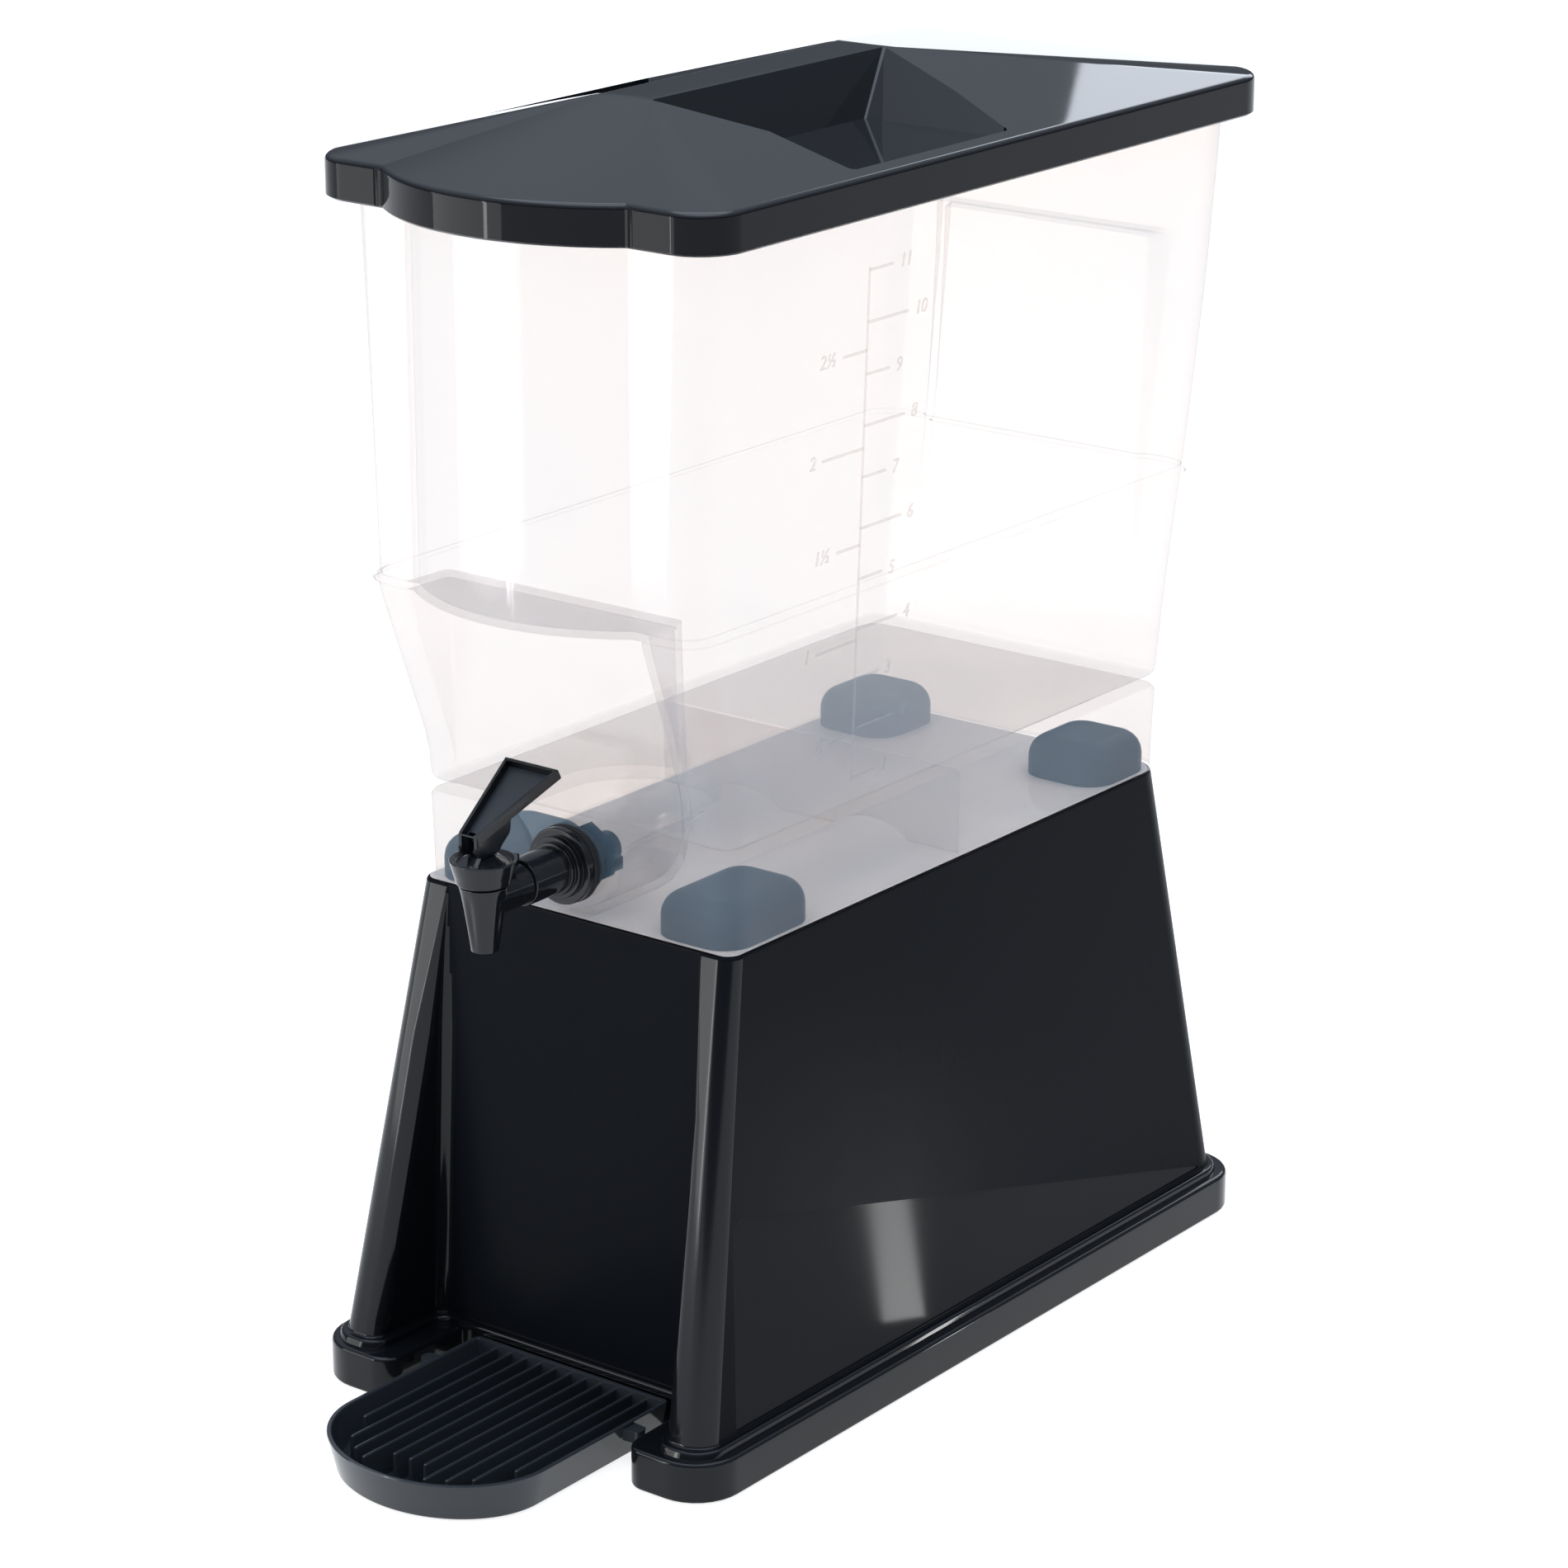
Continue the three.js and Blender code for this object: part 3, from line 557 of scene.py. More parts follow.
# (height, inset) up the outside, over the rim and down the inside to the floor
TRAY_EDGE = [(0, 1.6), (0.4, 0.7), (1.4, 0), (13.6, 0), (14.0, 0), (TRAY_HIGH.z - 0.5, 0),
             (TRAY_HIGH.z - 0.12, 0.3), (TRAY_HIGH.z, 0.8), (TRAY_HIGH.z, TRAY_WALL - 0.6),
             (TRAY_HIGH.z - 0.25, TRAY_WALL - 0.15), (TRAY_HIGH.z - 0.8, TRAY_WALL),
             (TRAY_FLOOR + 1.6, TRAY_WALL), (TRAY_FLOOR + 0.5, TRAY_WALL + 0.5),
             (TRAY_FLOOR, TRAY_WALL + 1.6)]
RIB_PITCH = 7.85
RIB_HALF = 0.85
RIB_TOP = 14.5
RIB_EDGE = [(TRAY_FLOOR - 0.4, -0.25), (RIB_TOP - 0.7, 0), (RIB_TOP - 0.25, 0.15), (RIB_TOP, 0.5)]
RIB_FRONTS = (-211.3, -211.7, -221.0, -217.0, -210.3, -194.4)  # from the middle rib outwards
LUG_ROOT = (49.5, -142.0, -135.0, 0.1)  # x, front, back and corner radius
LUG_TIP = (TRAY_HIGH.x - 0.2, -141.4, -135.6, 2.2)
LUG_HEIGHTS = (10.2, 15.2)


def tray_ring(z, inset=0.0):
    half = mix(*TRAY_HALF, z / TRAY_HIGH.z) - inset
    depth = TRAY_CENTRE - (TRAY_LOW.y + (TRAY_HIGH.z - z) * TRAY_LEAN) - inset
    back = TRAY_HIGH.y - inset
    front = []
    for step in range(TRAY_STEPS + 1):
        angle = math.pi / 2 * step / TRAY_STEPS
        front.append(Vector((half * math.sin(angle), TRAY_CENTRE - depth * math.cos(angle))))
    tail = rounded_path([(half, TRAY_CENTRE, 0), (half, back, max(3 - inset, 0.6)), (0, back, 0)])
    return mirrored_ring(front + tail[1:], z)


def tray_rib(index):
    """One of the thin upright ribs, with a rounded top and a rounded free end."""
    x = index * RIB_PITCH
    front, back = RIB_FRONTS[abs(index)], TRAY_HIGH.y - TRAY_WALL + 0.3
    rings = []
    for z, inset in RIB_EDGE:
        half = RIB_HALF - inset
        corners = [(x - half, front + inset, 0.8), (x + half, front + inset, 0.8), (x + half, back, 0.05),
                   (x - half, back, 0.05)]
        rings.append([(px, py, z) for px, py in rounded_path(corners, closed=True, steps=4)])
    return loft("rib", rings)


def tray_lug(x_side):
    """The small lug near the back of one side."""
    ends = sorted((x_side * x, *rest) for x, *rest in (LUG_ROOT, LUG_TIP))
    (x0, front0, back0, round0), (x1, front1, back1, round1) = ends
    corners = [(x0, front0, round0), (x1, front1, round1), (x1, back1, round1), (x0, back0, round0)]
    outline = rounded_path(corners, closed=True)
    return loft("lug", [[(x, y, z) for x, y in outline] for z in LUG_HEIGHTS])


def drip_tray():
    pan = loft("drip_tray_pan", [tray_ring(z, inset) for z, inset in TRAY_EDGE])
    combine(pan, "UNION", tray_lug(1), tray_lug(-1))
    soften(pan, 0.4, 2, 60, 40)
    place(pan, "tray", "base_plastic", TRAY_BLACK, "drip_tray")
    ribs = join("drip_tray_ribs", [tray_rib(i) for i in range(-5, 6)])
    soften(ribs, 0, sharp=50)
    place(ribs, "tray", "base_plastic", TRAY_BLACK)


# ---------------------------------------------------------------- tank
WALL = 2.5
SKIRT_WALL = 2.2
FLOOR_UNDER, FLOOR_TOP = 244.5, 249.0
LEDGE = 337.0
TANK_HALF = [(208.4, 79.2), (248, 80), (500, 89.4)]
COLUMN_FACE = [(208.4, FRONT_WALL), (264, -111), (LEDGE, -136.7)]
CENTRE_FACE = [(208.4, FRONT_WALL), (248, -110), (LEDGE, -113.5)]
TANK_BACK = [(208.4, 191.3), (258, 194), (295, 198.7), (356, 208.9), (417, 217.3), (480, 222.4),
             (500, 222.8)]
TANK_SHAPE = {"radius": 17.0, "pit": 1.2, "nose": 2.0, "recess": 57.0}  # as in a section of the base
COLUMN_EASE = {"below": 300, "reach": 7}  # where the columns' kink is rounded
BACK_EASE = 16
BOW = (89.0, -66.0)  # radius and centre of the bowed front
GRIP = {"half": 54.0, "low": 300.0, "high": 431.0, "depth": 9.0}
# (height, half width) of the trough that leads to the tap
SUMP = [(209, 5), (210, 9), (212, 13), (215, 16.8), (219, 19.6), (224, 21.4), (231, 22.6), (236, 24.2),
        (240, 26.8), (244, 31), (248.4, 38)]
SUMP_END = -72.0
SUMP_FADE = (220, 231)  # between these heights the inside stops being lifted by the wall's thickness
WEB = {"y": 43.0, "half": 78, "half_thick": 1.1}
ARCH = {"inner": 14, "outer": 52, "rise": 6.6, "power": 0.7}  # of the web's lower edge
RIM = {"height": 4, "edge": -2.8, "proud": -3.2}  # the tank's rim: its height and two insets
SKIRT_MIDDLE = 225


def tank_section(z, bowed, grip=True):
    """The tank's section at a height; a bowed one has the rounded front that stands above the ledge."""
    depth = GRIP["depth"] * (z - GRIP["low"]) / (GRIP["high"] - GRIP["low"])
    in_grip = grip and z <= GRIP["high"] + WALL
    front = along(COLUMN_FACE, z) if z > COLUMN_EASE["below"] else eased(COLUMN_FACE, z, COLUMN_EASE["reach"])
    shape = {**TANK_SHAPE, "half": along(TANK_HALF, z), "back": eased(TANK_BACK, z, BACK_EASE),
             "front": front, "wall": along(CENTRE_FACE, z),
             "grip": (GRIP["half"], max(depth, 0) if in_grip else 0)}
    if bowed:
        shape["bow"] = BOW
    return shape


def tank_ring(z, inset=0.0, bowed=False, grip=True):
    return mirrored_ring(half_section(tank_section(z, bowed, grip), inset), z)


def bowed_ring(z, inset=0.0, grip=True):
    return tank_ring(z, inset, True, grip)


def levels(low, high, step):
    """Even heights from low to high, about a step apart."""
    count = max(round((high - low) / step), 1)
    return [mix(low, high, i / count) for i in range(count + 1)]


def sump(inset, front):
    """The trough under the floor: a bowl that is long towards the tap and flares out to meet the floor."""
    rings = []
    fade_low, fade_high = SUMP_FADE
    for z, half in SUMP:
        width = half - inset
        lift = inset if z < fade_low else inset * max(0, (fade_high - z) / (fade_high - fade_low))
        lifted = z + lift
        arc = [(width * math.cos(a), SUMP_END + width * math.sin(a)) for a in
               (math.pi * i / 32 for i in range(33))]
        rings.append([(width, front, lifted), *((x, y, lifted) for x, y in arc), (-width, front, lifted)])
    if inset:
        rings.append([(x, y, FLOOR_TOP + 1) for x, y, _ in rings[-1]])
    return loft("sump", rings)


def tank_web():
    """The cross web under the floor, arched where its lower edge clears the base between the posts."""
    low_edge = []
    inner, outer = ARCH["inner"], ARCH["outer"]
    steps = 60
    for i in range(steps + 1):
        x = mix(-WEB["half"], WEB["half"], i / steps)
        in_arch = inner < abs(x) < outer
        arch = max(0.0, math.sin(math.pi * (abs(x) - inner) / (outer - inner))) if in_arch else 0.0
        low_edge.append((x, TANK_LOW.z + 0.4 + ARCH["rise"] * arch ** ARCH["power"]))
    outline = low_edge + [(WEB["half"], FLOOR_UNDER + 1.5), (-WEB["half"], FLOOR_UNDER + 1.5)]
    return slab("web", outline, WEB["y"] - WEB["half_thick"], WEB["y"] + WEB["half_thick"], "Y")


def tank_outside():
    """Rings from under the floor down the skirt's inside, then up the tank's outside to its rim."""
    top, high = TANK_HIGH.z, GRIP["high"]
    skirt = [tank_ring(FLOOR_UNDER, SKIRT_WALL + 1.5)]
    skirt += [tank_ring(z, SKIRT_WALL) for z in (FLOOR_UNDER - 1.5, SKIRT_MIDDLE, TANK_LOW.z + 0.3)]
    foot = [tank_ring(TANK_LOW.z, SKIRT_WALL - 0.5), tank_ring(TANK_LOW.z, 0.4),
            tank_ring(TANK_LOW.z + 0.4, 0), tank_ring(TANK_LOW.z + 0.9)]
    lower = [tank_ring(z) for z in levels(SKIRT_MIDDLE, LEDGE - 1.2, 8)]
    ledge = [tank_ring(LEDGE - 0.3, 0.25), tank_ring(LEDGE, 1.0), bowed_ring(LEDGE, 1.2),
             bowed_ring(LEDGE + 0.35, 0.35)]
    upper = [bowed_ring(z) for z in levels(LEDGE + 1.2, high, 10)]
    crown = [bowed_ring(z, 0, False) for z in levels(high + 0.6, top - RIM["height"], 12)]
    rim = [bowed_ring(top - RIM["height"], RIM["edge"], False), bowed_ring(top - 3.6, RIM["proud"], False),
           bowed_ring(top - 0.4, RIM["proud"], False), bowed_ring(top, RIM["edge"], False)]
    return skirt + foot + lower + ledge + upper + crown + rim


def tank_inside():
    """Rings from the rim down the tank's inside to its floor."""
    top, high = TANK_HIGH.z, GRIP["high"]
    rim = [bowed_ring(top, WALL - 0.5, False), bowed_ring(top - 0.5, WALL, False)]
    crown = [bowed_ring(z, WALL, False) for z in reversed(levels(high + WALL + 0.6, top - 8, 12))]
    upper = [bowed_ring(z, WALL) for z in reversed(levels(LEDGE + WALL + 0.6, high + WALL, 10))]
    ledge = [bowed_ring(LEDGE + WALL, WALL + 0.6), tank_ring(LEDGE + WALL, WALL + 0.1)]
    lower = [tank_ring(z, WALL) for z in reversed(levels(FLOOR_TOP + 5, LEDGE + WALL - 0.6, 8))]
    floor_edge = [tank_ring(FLOOR_TOP + 2.2, WALL + 0.5), tank_ring(FLOOR_TOP + 0.7, WALL + 1.8),
                  tank_ring(FLOOR_TOP, WALL + 4.0)]
    return rim + crown + upper + ledge + lower + floor_edge


def tank_finish(face):
    """The floor and the skirt's foot are thicker, so they look denser than the walls."""
    z = face.center.z / MM
    on_floor = abs(face.normal.z) > 0.9 and FLOOR_UNDER - 0.5 < z < FLOOR_TOP + 1
    return THICK_MILKY if on_floor or z < TANK_LOW.z + 0.9 else MILKY


def tank():
    body = loft("tank_body", tank_outside() + tank_inside())
    front = along(CENTRE_FACE, TAP_Z)
    combine(body, "UNION", sump(0, front + 1.0), tank_web())
    combine(body, "DIFFERENCE", sump(WALL, front + WALL), tap_rod("hole", 6.9, front - 5, front + 8))
    soften(body, 0, sharp=35)
    finish_faces(body, (MILKY, THICK_MILKY), tank_finish)
    place(body, "tank", "tank_plastic", MILKY, "tank")


# ---------------------------------------------------------------- volume marks on the right wall
MARK_BAR_Y = -35.3
MARK_START = 262.0  # height of the one-litre tick
MARK_PROUD = 0.35
TICK = {"short": 15, "long": 26, "gap": 4}  # lengths, and the gap between a tick and its number
LITRE = 20.2  # rise per litre
TOP_LITRE = 11
GALLON = 3.785  # litres
TOP_HALF_GALLON = 5
DIGIT = 5.5  # height of the numbers
FONT_SIZE = 1.4  # font size per height of a digit
WALL_SLOPE = math.atan2(TANK_HALF[2][1] - TANK_HALF[1][1], TANK_HALF[2][0] - TANK_HALF[1][0])


def on_right_wall(y, z, proud):
    return Vector((along(TANK_HALF, z) + proud, y, z))


def mark(y0, z0, y1, z1, width=1.0):
    """A thin raised line on the right wall between two points of it."""
    start, end = Vector((y0, z0)), Vector((y1, z1))
    side = (end - start).orthogonal().normalized() * width / 2
    outline = [start - side, end - side, end + side, start + side]
    rings = []
    for proud, shrink in ((-0.15, 1.0), (MARK_PROUD * 0.6, 1.0), (MARK_PROUD, 0.55)):
        middle = (start + end) / 2
        ring = []
        for point in outline:
            across = side * (1 - shrink) * (1 if (point - middle).dot(side) < 0 else -1)
            ring.append(on_right_wall(*(point + across), proud))
        rings.append(ring)
    return loft("mark", rings)


def numeral(text, y, z, align="LEFT"):
    """A raised number on the right wall."""
    curve = bpy.data.curves.new("numeral", "FONT")
    curve.body = text
    curve.size = DIGIT * MM * FONT_SIZE
    curve.extrude = 0.25 * MM
    curve.shear = 0.2
    curve.align_x = align
    curve.align_y = "CENTER"
    obj = new_object("numeral", curve)
    facing = Matrix(((0, 0, 1), (1, 0, 0), (0, 1, 0))).to_4x4()
    tilt = Matrix.Rotation(WALL_SLOPE, 4, "Y")
    obj.matrix_world = Matrix.Translation(on_right_wall(y, z, 0.05) * MM) @ tilt @ facing
    bpy.context.view_layer.update()
    mesh = bpy.data.meshes.new_from_object(obj.evaluated_get(bpy.context.evaluated_depsgraph_get()))
    mesh.transform(obj.matrix_world)
    bpy.data.objects.remove(obj)
    return new_object("numeral", mesh)


def litre_height(litres):
    return MARK_START + LITRE * (litres - 1)


def volume_marks():
    """A ladder of litres, with half gallons on its other side."""
    lines, numbers = [], []
    lines.append(mark(MARK_BAR_Y, MARK_START - 1, MARK_BAR_Y, litre_height(TOP_LITRE) + 1, 1.1))
    for litre in range(1, TOP_LITRE + 1):
        reach = TICK["short"] if litre % 2 else TICK["long"]
        z = litre_height(litre)
        lines.append(mark(MARK_BAR_Y, z, MARK_BAR_Y + reach, z))
        numbers.append(numeral(str(litre), MARK_BAR_Y + reach + TICK["gap"], z))
    for half_gallons in range(1, TOP_HALF_GALLON + 1):
        reach = TICK["short"] if half_gallons % 2 else TICK["long"]
        z = litre_height(GALLON * half_gallons / 2)
        lines.append(mark(MARK_BAR_Y - reach, z, MARK_BAR_Y, z))
        whole = "" if half_gallons == 1 else str(half_gallons // 2)
        text = whole + ("½" if half_gallons % 2 else "")
        numbers.append(numeral(text, MARK_BAR_Y - reach - TICK["gap"], z, "RIGHT"))
    place(join("volume_lines", lines), "tank", "tank_plastic", MILKY)
    place(join("volume_numbers", numbers), "tank", "tank_plastic", MILKY)


# ---------------------------------------------------------------- lid
LID_SECTION = {"half": LID_HIGH.x, "front": -143.9, "back": LID_HIGH.y, "radius": 21.0, "bow": (94.3, -70.2),
               "grip": (50.0, 0.0)}
LID_WALL = 2.5
EAVE = 502.5
EAVE_ROUND = 2.6
# spread: half width of the front that draws in
SPINE = {"half": 11.7, "front": -70.2, "back": 76.3, "spread": 62}
NOTCH = {"x": 61.3, "y": -145.4, "radius": 1.9}
FINGER = {"inner": 21.5, "outer": 91.0, "front": -50.0, "back": 51.0, "floor": 501.0}
FINGER_LEAN = {"side": 0.408, "front": 0.875, "back": 1.083}  # how far the walls lean out, per millimetre up


def lid_ring(z, inset=0.0):
    return mirrored_ring(half_section(LID_SECTION, inset), z)


def spine_ring(z, inset=0.0):
    """The roof's flat top, point for point with lid_ring: the front, the corners and the back draw in."""
    eave = lid_ring(z)
    middle = (SPINE["front"] + SPINE["back"]) / 2
    reach = LID_SECTION["half"] - LID_SECTION["radius"]
    front, back = SPINE["front"] + inset, SPINE["back"] - inset
    ring = []
    for x, y, _ in eave:
        narrow = max(-1.0, min(1.0, x / (SPINE["spread"] if y < middle else reach)))
        ring.append((narrow * (SPINE["half"] - inset), front if y < middle else back, z))
    return ring


def between(ring_a, ring_b, t):
    return [tuple(Vector(a).lerp(Vector(b), t)) for a, b in zip(ring_a, ring_b)]


def finger_tool(x_side, grow=0.0):
    """The finger recess beside the spine, with its walls moved out and its floor moved down by an amount."""
    rings = []
    for z in (FINGER["floor"] - grow, LID_HIGH.z + 6):
        up = z - (FINGER["floor"] - grow)
        inner = FINGER["inner"] - FINGER_LEAN["side"] * up - grow
        front, back = FINGER["front"] - grow, FINGER["back"] + grow
        outer = FINGER["outer"] + grow
        corners = [(inner, front - FINGER_LEAN["front"] * up, 1.0), (outer, front, 3.0), (outer, back, 3.0),
                   (inner, back + FINGER_LEAN["back"] * up, 1.0)]
        outline = rounded_path(corners, closed=True, steps=5)
        rings.append([(x_side * x, y, z) for x, y in outline])
    return loft("finger", rings)


def notch_tool(x_side, grow=0.0):
    """The small upright groove at one end of the lid's bowed front."""
    centre = (x_side * NOTCH["x"], NOTCH["y"])
    radius, low = NOTCH["radius"] + grow, LID_LOW.z - 5
    corners = [(0, low, 0), (radius, low, 0), (radius, LID_HIGH.z, 0), (0, LID_HIGH.z, 0)]
    return lathe("notch", corners, centre=centre, steps=32)


def roof(low, inset):
    """The lid's outside, or its inside when inset: an upright rim, a rounded eave and a hipped roof."""
    slope = math.atan2(LID_HIGH.z - EAVE, LID_SECTION["half"] - SPINE["half"])
    eave, spine = EAVE - inset, LID_HIGH.z - inset
    rings = [lid_ring(low, inset + (0.8 if inset == 0 else 0)), lid_ring(low + 0.8, inset)]
    steps = 6
    for step in range(steps + 1):
        turn = (math.pi / 2 - slope) * step / steps
        rings.append(lid_ring(eave - EAVE_ROUND * 0.75 + EAVE_ROUND * math.sin(turn),
                              inset + EAVE_ROUND * (1 - math.cos(turn))))
    peak = spine_ring(spine, inset * 0.5)
    rings += [between(rings[-1], peak, t) for t in (0.25, 0.5, 0.75, 0.955)]
    return rings + [spine_ring(spine - 0.25, inset * 0.5), spine_ring(spine, inset * 0.5 + 3.0)]


def lid_cuts(grow=0.0):
    """The finger recesses and notches, grown by a wall's thickness for the lid's inside."""
    return [tool(side, grow) for tool in (finger_tool, notch_tool) for side in (1, -1)]


def lid_finish(face):
    on_rim = face.center.z / MM < EAVE - 1.5 and abs(face.normal.z) < 0.3
    return LID_RIM if on_rim else LID_BLACK


def lid():
    shell = loft("lid_shell", roof(LID_LOW.z, 0))
    combine(shell, "DIFFERENCE", *lid_cuts())
    inside = loft("inside", roof(LID_LOW.z - 1, LID_WALL))
    combine(inside, "DIFFERENCE", *lid_cuts(LID_WALL))
    combine(shell, "DIFFERENCE", inside)
    soften(shell, 0.7, 3, 35, 34)
    finish_faces(shell, (LID_BLACK, LID_RIM), lid_finish)
    place(shell, "lid", "lid_plastic", LID_BLACK, "lid")


# ---------------------------------------------------------------- tap
BORE = 4.3  # radius of the way through the shank and the boss
CHAMBER = {"outlet": 3.8, "cup": 6.6, "seat": 224.5, "top": 226}  # radii and heights inside the spout
NECK = {"bottom": 235.4, "top": 236.2, "radius": 8.6}  # where the spout's cone ends under the bonnet


def tap_rod(name, radius, front, back):
    corners = [(0, front, 0), (radius, front, 0), (radius, back, 0), (0, back, 0)]
    return lathe(name, corners, "Y", SHANK_AXIS)


def tap_shank():
    """The collar, the wide flange against the outer washer, and the threaded end that goes into the tank."""
    front, back = SHANK_LOW.y, SHANK_HIGH.y
    face = front + 27.0  # the flange's back, against the outer washer
    collar, shoulder, hub, flange, thread = 9.5, 10.7, 12.5, 15.5, 6.6
    corners = [(BORE, front, 0.3), (collar, front, 0.5), (collar, face - 7.8, 0.2),
               (shoulder, face - 7.8, 0.5), (shoulder, face - 5.9, 0.2), (hub, face - 5.9, 0.5),
               (hub, face - 3.4, 0.2), (flange, face - 3.4, 0.7), (flange, face, 0.5),
               (thread, face, 0.2), (thread, back, 0.5), (BORE, back, 0.3)]
    shank = lathe("shank", corners, "Y", SHANK_AXIS, FINE, closed=True)
    soften(shank, 0, sharp=50)
    place(shank, "tank", "tap_plastic", TAP_BLACK, "tap_shank")


def washer(name, node):
    """A flat ring with rounded rims in the place of a packed washer."""
    low, high = span(node)
    hole, radius = 6.95, (high.x - low.x) / 2
    corners = [(hole, low.y, 0.3), (radius, low.y, 0.7), (radius, high.y, 0.7), (hole, high.y, 0.3)]
    ring = lathe(name, corners, "Y", SHANK_AXIS, FINE, closed=True)
    soften(ring, 0, sharp=50)
    place(ring, "tank", "washer_rubber", RUBBER, node)


def spout_cone():
    """The spout: a cone whose sides are scooped into eight shallow flutes that die out at both ends."""
    steps, flutes = 96, 8
    low, bottom, neck = SPOUT_LOW.z, NECK["bottom"], NECK["radius"]
    path = [(5.0, low), (5.35, low + 0.25), (5.5, low + 0.8)]
    path += [(mix(5.5, 9.5, i / 14), mix(low + 0.8, bottom, i / 14)) for i in range(1, 15)]
    path += [(9.4, 235.9), (9.0, NECK["top"]), (neck, NECK["top"]), (neck, SPOUT_HIGH.z)]
    rings = []
    for radius, z in path:
        share = (z - low) / (bottom - low)
        depth = 0.085 * math.sin(math.pi * min(max(share, 0), 1)) ** 0.8 if z < bottom else 0
        ring = []
        for step in range(steps):
            angle = 2 * math.pi * (step + 0.5) / steps
            r = radius * (1 - depth * (0.5 + 0.5 * math.cos(flutes * angle)) ** 1.5)
            ring.append((r * math.cos(angle), TAP_Y + r * math.sin(angle), z))
        rings.append(ring)
    return loft("spout", rings)


def tap_body():
    body = spout_cone()
    boss = tap_rod("boss", 8.5, TAP_Y, SPOUT_HIGH.y)
    bonnet_room = [(0, 236.6, 0), (13.6, 236.6, 0), (13.6, 250, 0), (0, 250, 0)]
    combine(boss, "DIFFERENCE", lathe("clearance", bonnet_room, "Z", SPOUT_AXIS))
    web = slab("gusset", [(-148.6, 238.6), (-146.2, 238.6), (-143.2, 242.3), (-141.2, 243.2), (-141.2, 235),
                          (-148.6, 235)], -1.1, 1.1, "X")
    combine(body, "UNION", boss, web)
    outlet, cup = CHAMBER["outlet"], CHAMBER["cup"]
    low, high = SPOUT_LOW.z - 1, SPOUT_HIGH.z + 1
    hollow = [(0, low, 0), (outlet, low, 0), (outlet, CHAMBER["seat"], 0), (cup, CHAMBER["top"], 0),
              (cup, high, 0), (0, high, 0)]
    chamber = lathe("chamber", hollow, "Z", SPOUT_AXIS)
    combine(body, "DIFFERENCE", chamber, tap_rod("waterway", BORE, TAP_Y, SPOUT_HIGH.y + 1))
    soften(body, 0.35, 2, 55, 38)
    place(body, "tank", "tap_plastic", TAP_BLACK, "tap_body")


def tap_bonnet():
    """A flared cap, hollow below, with a hole for the stem."""
    low, high = BONNET_LOW.z, BONNET_HIGH.z - 1.7
    rim = (BONNET_HIGH.x - BONNET_LOW.x) / 2
    inside, stem_hole, ceiling = 8.95, 2.75, 242.2
    corners = [(inside, low, 0.2), (10.6, low, 0.7), (11.3, low + 3.0, 0.8), (rim, high, 0.7),
               (rim - 1.3, high, 0.5), (rim - 2.6, high - 1.5, 0.6), (5.2, BONNET_HIGH.z, 0.7),
               (stem_hole, BONNET_HIGH.z, 0.3), (stem_hole, ceiling, 0), (inside, ceiling, 0)]
    bonnet = lathe("bonnet", corners, "Z", SPOUT_AXIS, FINE, closed=True)
    soften(bonnet, 0, sharp=50)
    place(bonnet, "tank", "tap_plastic", TAP_BLACK, "tap_bonnet")


LEVER_HALF = {"low": 4.4, "high": 13.2}
LEVER_ENDS = [(-169.6, 258.6), (-131.7, 277.0)]  # (y, z) of the face's lower and upper ends
LEVER_THICK = 4.2
DISH_MARGIN = 1.4
PIVOT_Z = 253.4
CAM = {"radius": 4.7, "rise": 3.82, "turn": math.pi / 3}  # the cheeks' lower edge rises in mm per radian


def cheek_outline():
    """Side view of the lever's cheeks as (y, z): the cam in front lifts the stem evenly with the tilt."""
    front = LEVER_ENDS[0][0]
    outline = [(front, 258.2), (front, PIVOT_Z)]
    for i in range(13):
        angle = CAM["turn"] * (1 - i / 12)
        drop = CAM["radius"] + CAM["rise"] * angle
        outline.append((TAP_Y - drop * math.sin(angle) - CAM["rise"] * math.cos(angle),
                        PIVOT_Z + CAM["rise"] * math.sin(angle) - drop * math.cos(angle)))
    heel, back = TAP_Y + 1.8, TAP_Y + 11.4
    for i in range(7):
        angle = math.radians(-90 + i * 10)
        outline.append((heel + CAM["radius"] * math.cos(angle), PIVOT_Z + CAM["radius"] * math.sin(angle)))
    return outline + [(TAP_Y + 10.8, PIVOT_Z + 1.8), (back, PIVOT_Z + 4.5), (back, PIVOT_Z + 12.4)]


def lever_plate(name, margin, top, tall):
    """A trapezoid plate on the lever's slope, from its lower end, with a margin at sides and upper end."""
    (y0, z0), (y1, z1) = LEVER_ENDS
    ahead = Vector((0, y1 - y0, z1 - z0))
    length = ahead.length
    ahead.normalize()
    up = Vector((0, -ahead.z, ahead.y))
    origin = Vector((0, y0, z0))
    rings = []
    for distance in (0.0, length - margin):
        half = mix(LEVER_HALF["low"], LEVER_HALF["high"], distance / length) - margin
        centre = origin + ahead * distance
        side = Vector((half, 0, 0))
        high, low = centre + up * top, centre + up * (top - tall)
        rings.append([high + side, high - side, low - side, low + side])
    return loft(name, rings)


def lever_finish(face):
    """The bottom of the dish is stippled; the rest of the lever is smooth."""
    (y0, z0), (y1, z1) = LEVER_ENDS
    normal = Vector((0, -(z1 - z0), y1 - y0)).normalized()
    depth = (face.center / MM - Vector((0, y0, z0))).dot(normal)
    return STIPPLED if -3.4 < depth < -2.4 and face.normal.dot(normal) > 0.95 else TAP_BLACK


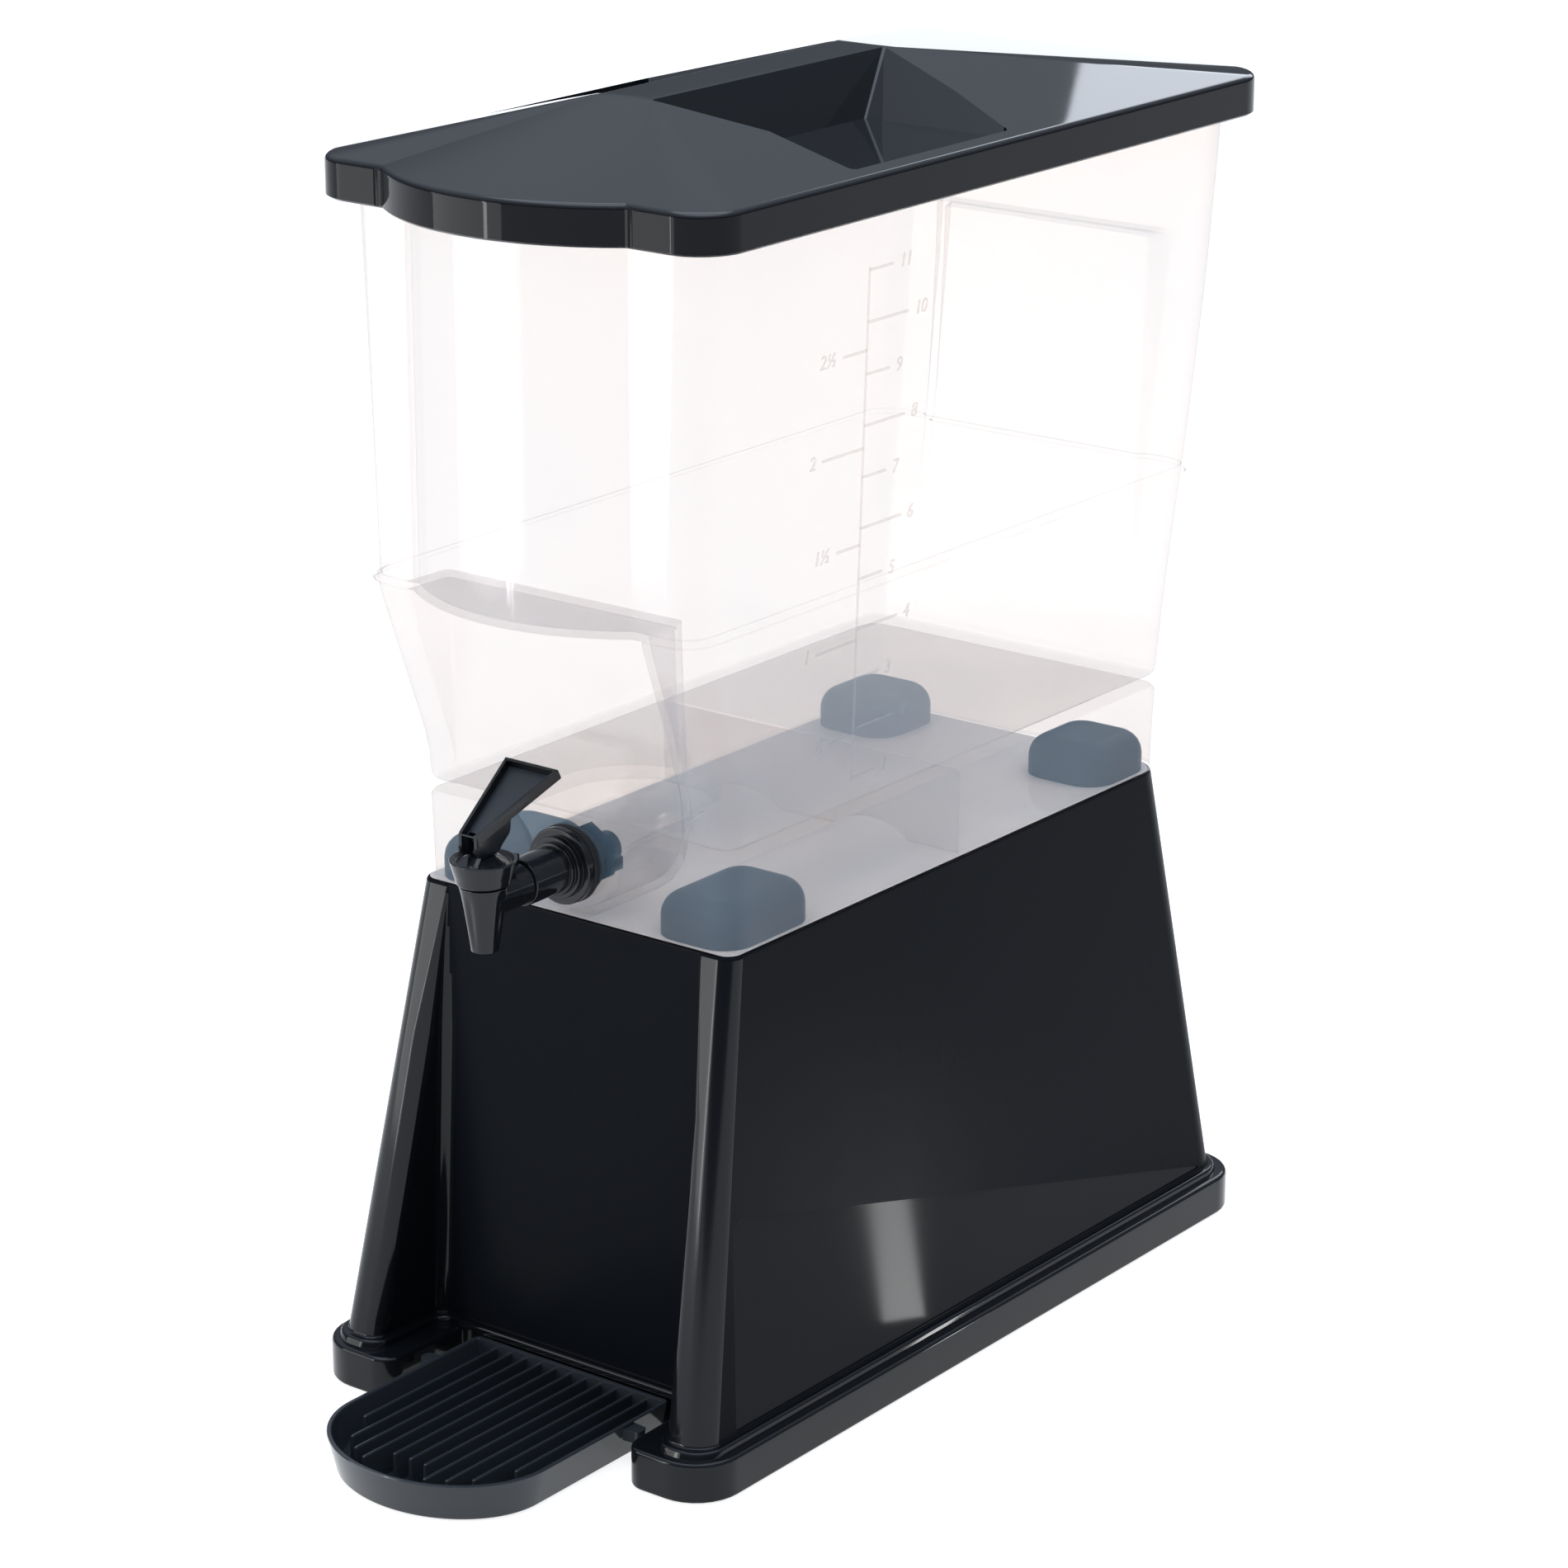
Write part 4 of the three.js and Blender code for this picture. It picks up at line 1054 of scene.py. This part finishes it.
def tap_lever():
    """The handle: a dished plate on a pair of cheeks with a channel between them."""
    lever = lever_plate("lever", 0.0, 0.0, LEVER_THICK)
    half = LEVER_HALF["low"]
    front = LEVER_ENDS[0][0]
    channel = box("channel", (-half + 1.3, front - 3, 240), (half - 1.3, -156.6, 257.6))
    combine(lever, "UNION", slab("cheeks", cheek_outline(), -half, half, "X"))
    combine(lever, "DIFFERENCE", lever_plate("dish", DISH_MARGIN, 1.0, LEVER_THICK - 0.2), channel)
    soften(lever, 0.3, 2, 50, 34)
    finish_faces(lever, (TAP_BLACK, STIPPLED), lever_finish)
    place(lever, "lever", "tap_plastic", TAP_BLACK, "tap_lever")


def kept_nodes():
    """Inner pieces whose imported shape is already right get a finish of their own."""
    for node, material in (("tap_stem", TAP_BLACK), ("seat_cup", SILICONE), ("lever_pin", STEEL),
                           ("shank_nut", TAP_BLACK)):
        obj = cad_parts[node]
        obj.data.materials.clear()
        obj.data.materials.append(material)


# ---------------------------------------------------------------- stage, in metres
AZIMUTH, ELEVATION = 37.492, 18.427  # degrees round to the right of the front, and up
DISTANCE = 1.970
TARGET = (0, 0.02673, 0.2268)
SENSOR, LENS = 36.0, 110.19  # millimetres
FLOOR_HALF = 30.0
FLOOR_GLOW = 0.84
# The sky's brightness: two smooth steps over its height, each from (first, last) to (low, high)
SKY_STEPS = [((0.1, 0.85), (0.15, 0.95)), ((0.76, 0.9), (0.0, 1.9))]
SKY_COLOUR = (0.84, 0.93, 1.08, 1)
STRIP = {"x": 0.26, "y": 0.19, "turn": -math.atan2(0.62, 0.77)}  # the strip light on the floor


def camera():
    """A view from the right of the front and above, through a long lens."""
    azimuth, elevation = math.radians(AZIMUTH), math.radians(ELEVATION)
    level = math.cos(elevation)
    back = Vector((math.sin(azimuth) * level, -math.cos(azimuth) * level, math.sin(elevation)))
    lens = bpy.data.cameras.new("camera")
    lens.sensor_width = SENSOR
    lens.lens = LENS
    lens.clip_end = 200.0
    eye = bpy.data.objects.new("camera", lens)
    bpy.context.scene.collection.objects.link(eye)
    eye.location = Vector(TARGET) + back * DISTANCE
    eye.rotation_euler = (-back).to_track_quat("-Z", "Y").to_euler()
    bpy.context.scene.camera = eye


def area_light(name, location, aim, size, power, color=(1, 1, 1)):
    light = bpy.data.lights.new(name, "AREA")
    light.shape = "RECTANGLE"
    light.size, light.size_y = size
    light.energy = power
    light.color = color
    lamp = bpy.data.objects.new(name, light)
    bpy.context.scene.collection.objects.link(lamp)
    lamp.location = location
    lamp.rotation_euler = (Vector(aim) - Vector(location)).to_track_quat("-Z", "Y").to_euler()
    return lamp


def floor():
    size = FLOOR_HALF / MM
    corners = [(-size, -size, 0), (size, -size, 0), (size, size, 0), (-size, size, 0)]
    sheet = mesh_from("floor", corners, [(0, 1, 2, 3)])
    sheet.location.z = -0.0004
    material, _, _, _ = shader("pale_floor", Base_Color=(0.4, 0.4, 0.4, 1), Roughness=0.9,
                              Specular_IOR_Level=0.0, Emission_Color=(1, 1, 1, 1),
                              Emission_Strength=FLOOR_GLOW)
    sheet.data.materials.append(material)


def studio():
    """A room that is dim low down and bright overhead, with softboxes and a strip light on the floor."""
    world = bpy.data.worlds.new("studio")
    bpy.context.scene.world = world
    world.use_nodes = True
    nodes, links = world.node_tree.nodes, world.node_tree.links
    direction = add_node(nodes, "TexCoord")
    height = add_node(nodes, "SeparateXYZ")
    total = add_node(nodes, "Math")
    links.new(direction.outputs["Generated"], height.inputs[0])
    for socket, (heights, strengths) in enumerate(SKY_STEPS):
        step = map_range(nodes, *heights, *strengths)
        step.interpolation_type = "SMOOTHSTEP"
        links.new(height.outputs["Z"], step.inputs["Value"])
        links.new(step.outputs["Result"], total.inputs[socket])
    background = nodes["Background"]
    background.inputs["Color"].default_value = SKY_COLOUR
    links.new(total.outputs[0], background.inputs["Strength"])
    back = area_light("roof_softbox", (-0.315, 2.055, 1.355), (0.076, 0.118, 0.508), (1.0, 0.9), 8.5,
                      (0.86, 0.92, 1.0))
    back.rotation_euler.rotate_axis("Z", 0.35)
    area_light("front_softbox", (-0.74, -1.03, 0.32), (0, -0.15, 0.32), (0.87, 0.6), 5.0)
    area_light("front_strip", (-0.516, -1.12, 0.32), (0, -0.15, 0.32), (0.035, 0.6), 1.0)
    foot = (STRIP["x"], STRIP["y"])
    strip = area_light("floor_strip", (*foot, 0.001), (*foot, 1), (0.018, 0.36), 0.28)
    strip.rotation_euler = (math.pi, 0, STRIP["turn"])
    scene = bpy.context.scene
    scene.view_settings.view_transform = "Standard"
    scene.cycles.transparent_max_bounces = 40
    scene.cycles.max_bounces = 12


base_shell()
drip_tray()
tank()
volume_marks()
lid()
tap_shank()
washer("washer_outer", "outer_washer")
washer("washer_inner", "inner_washer")
tap_body()
tap_bonnet()
tap_lever()
kept_nodes()
floor()
studio()
camera()
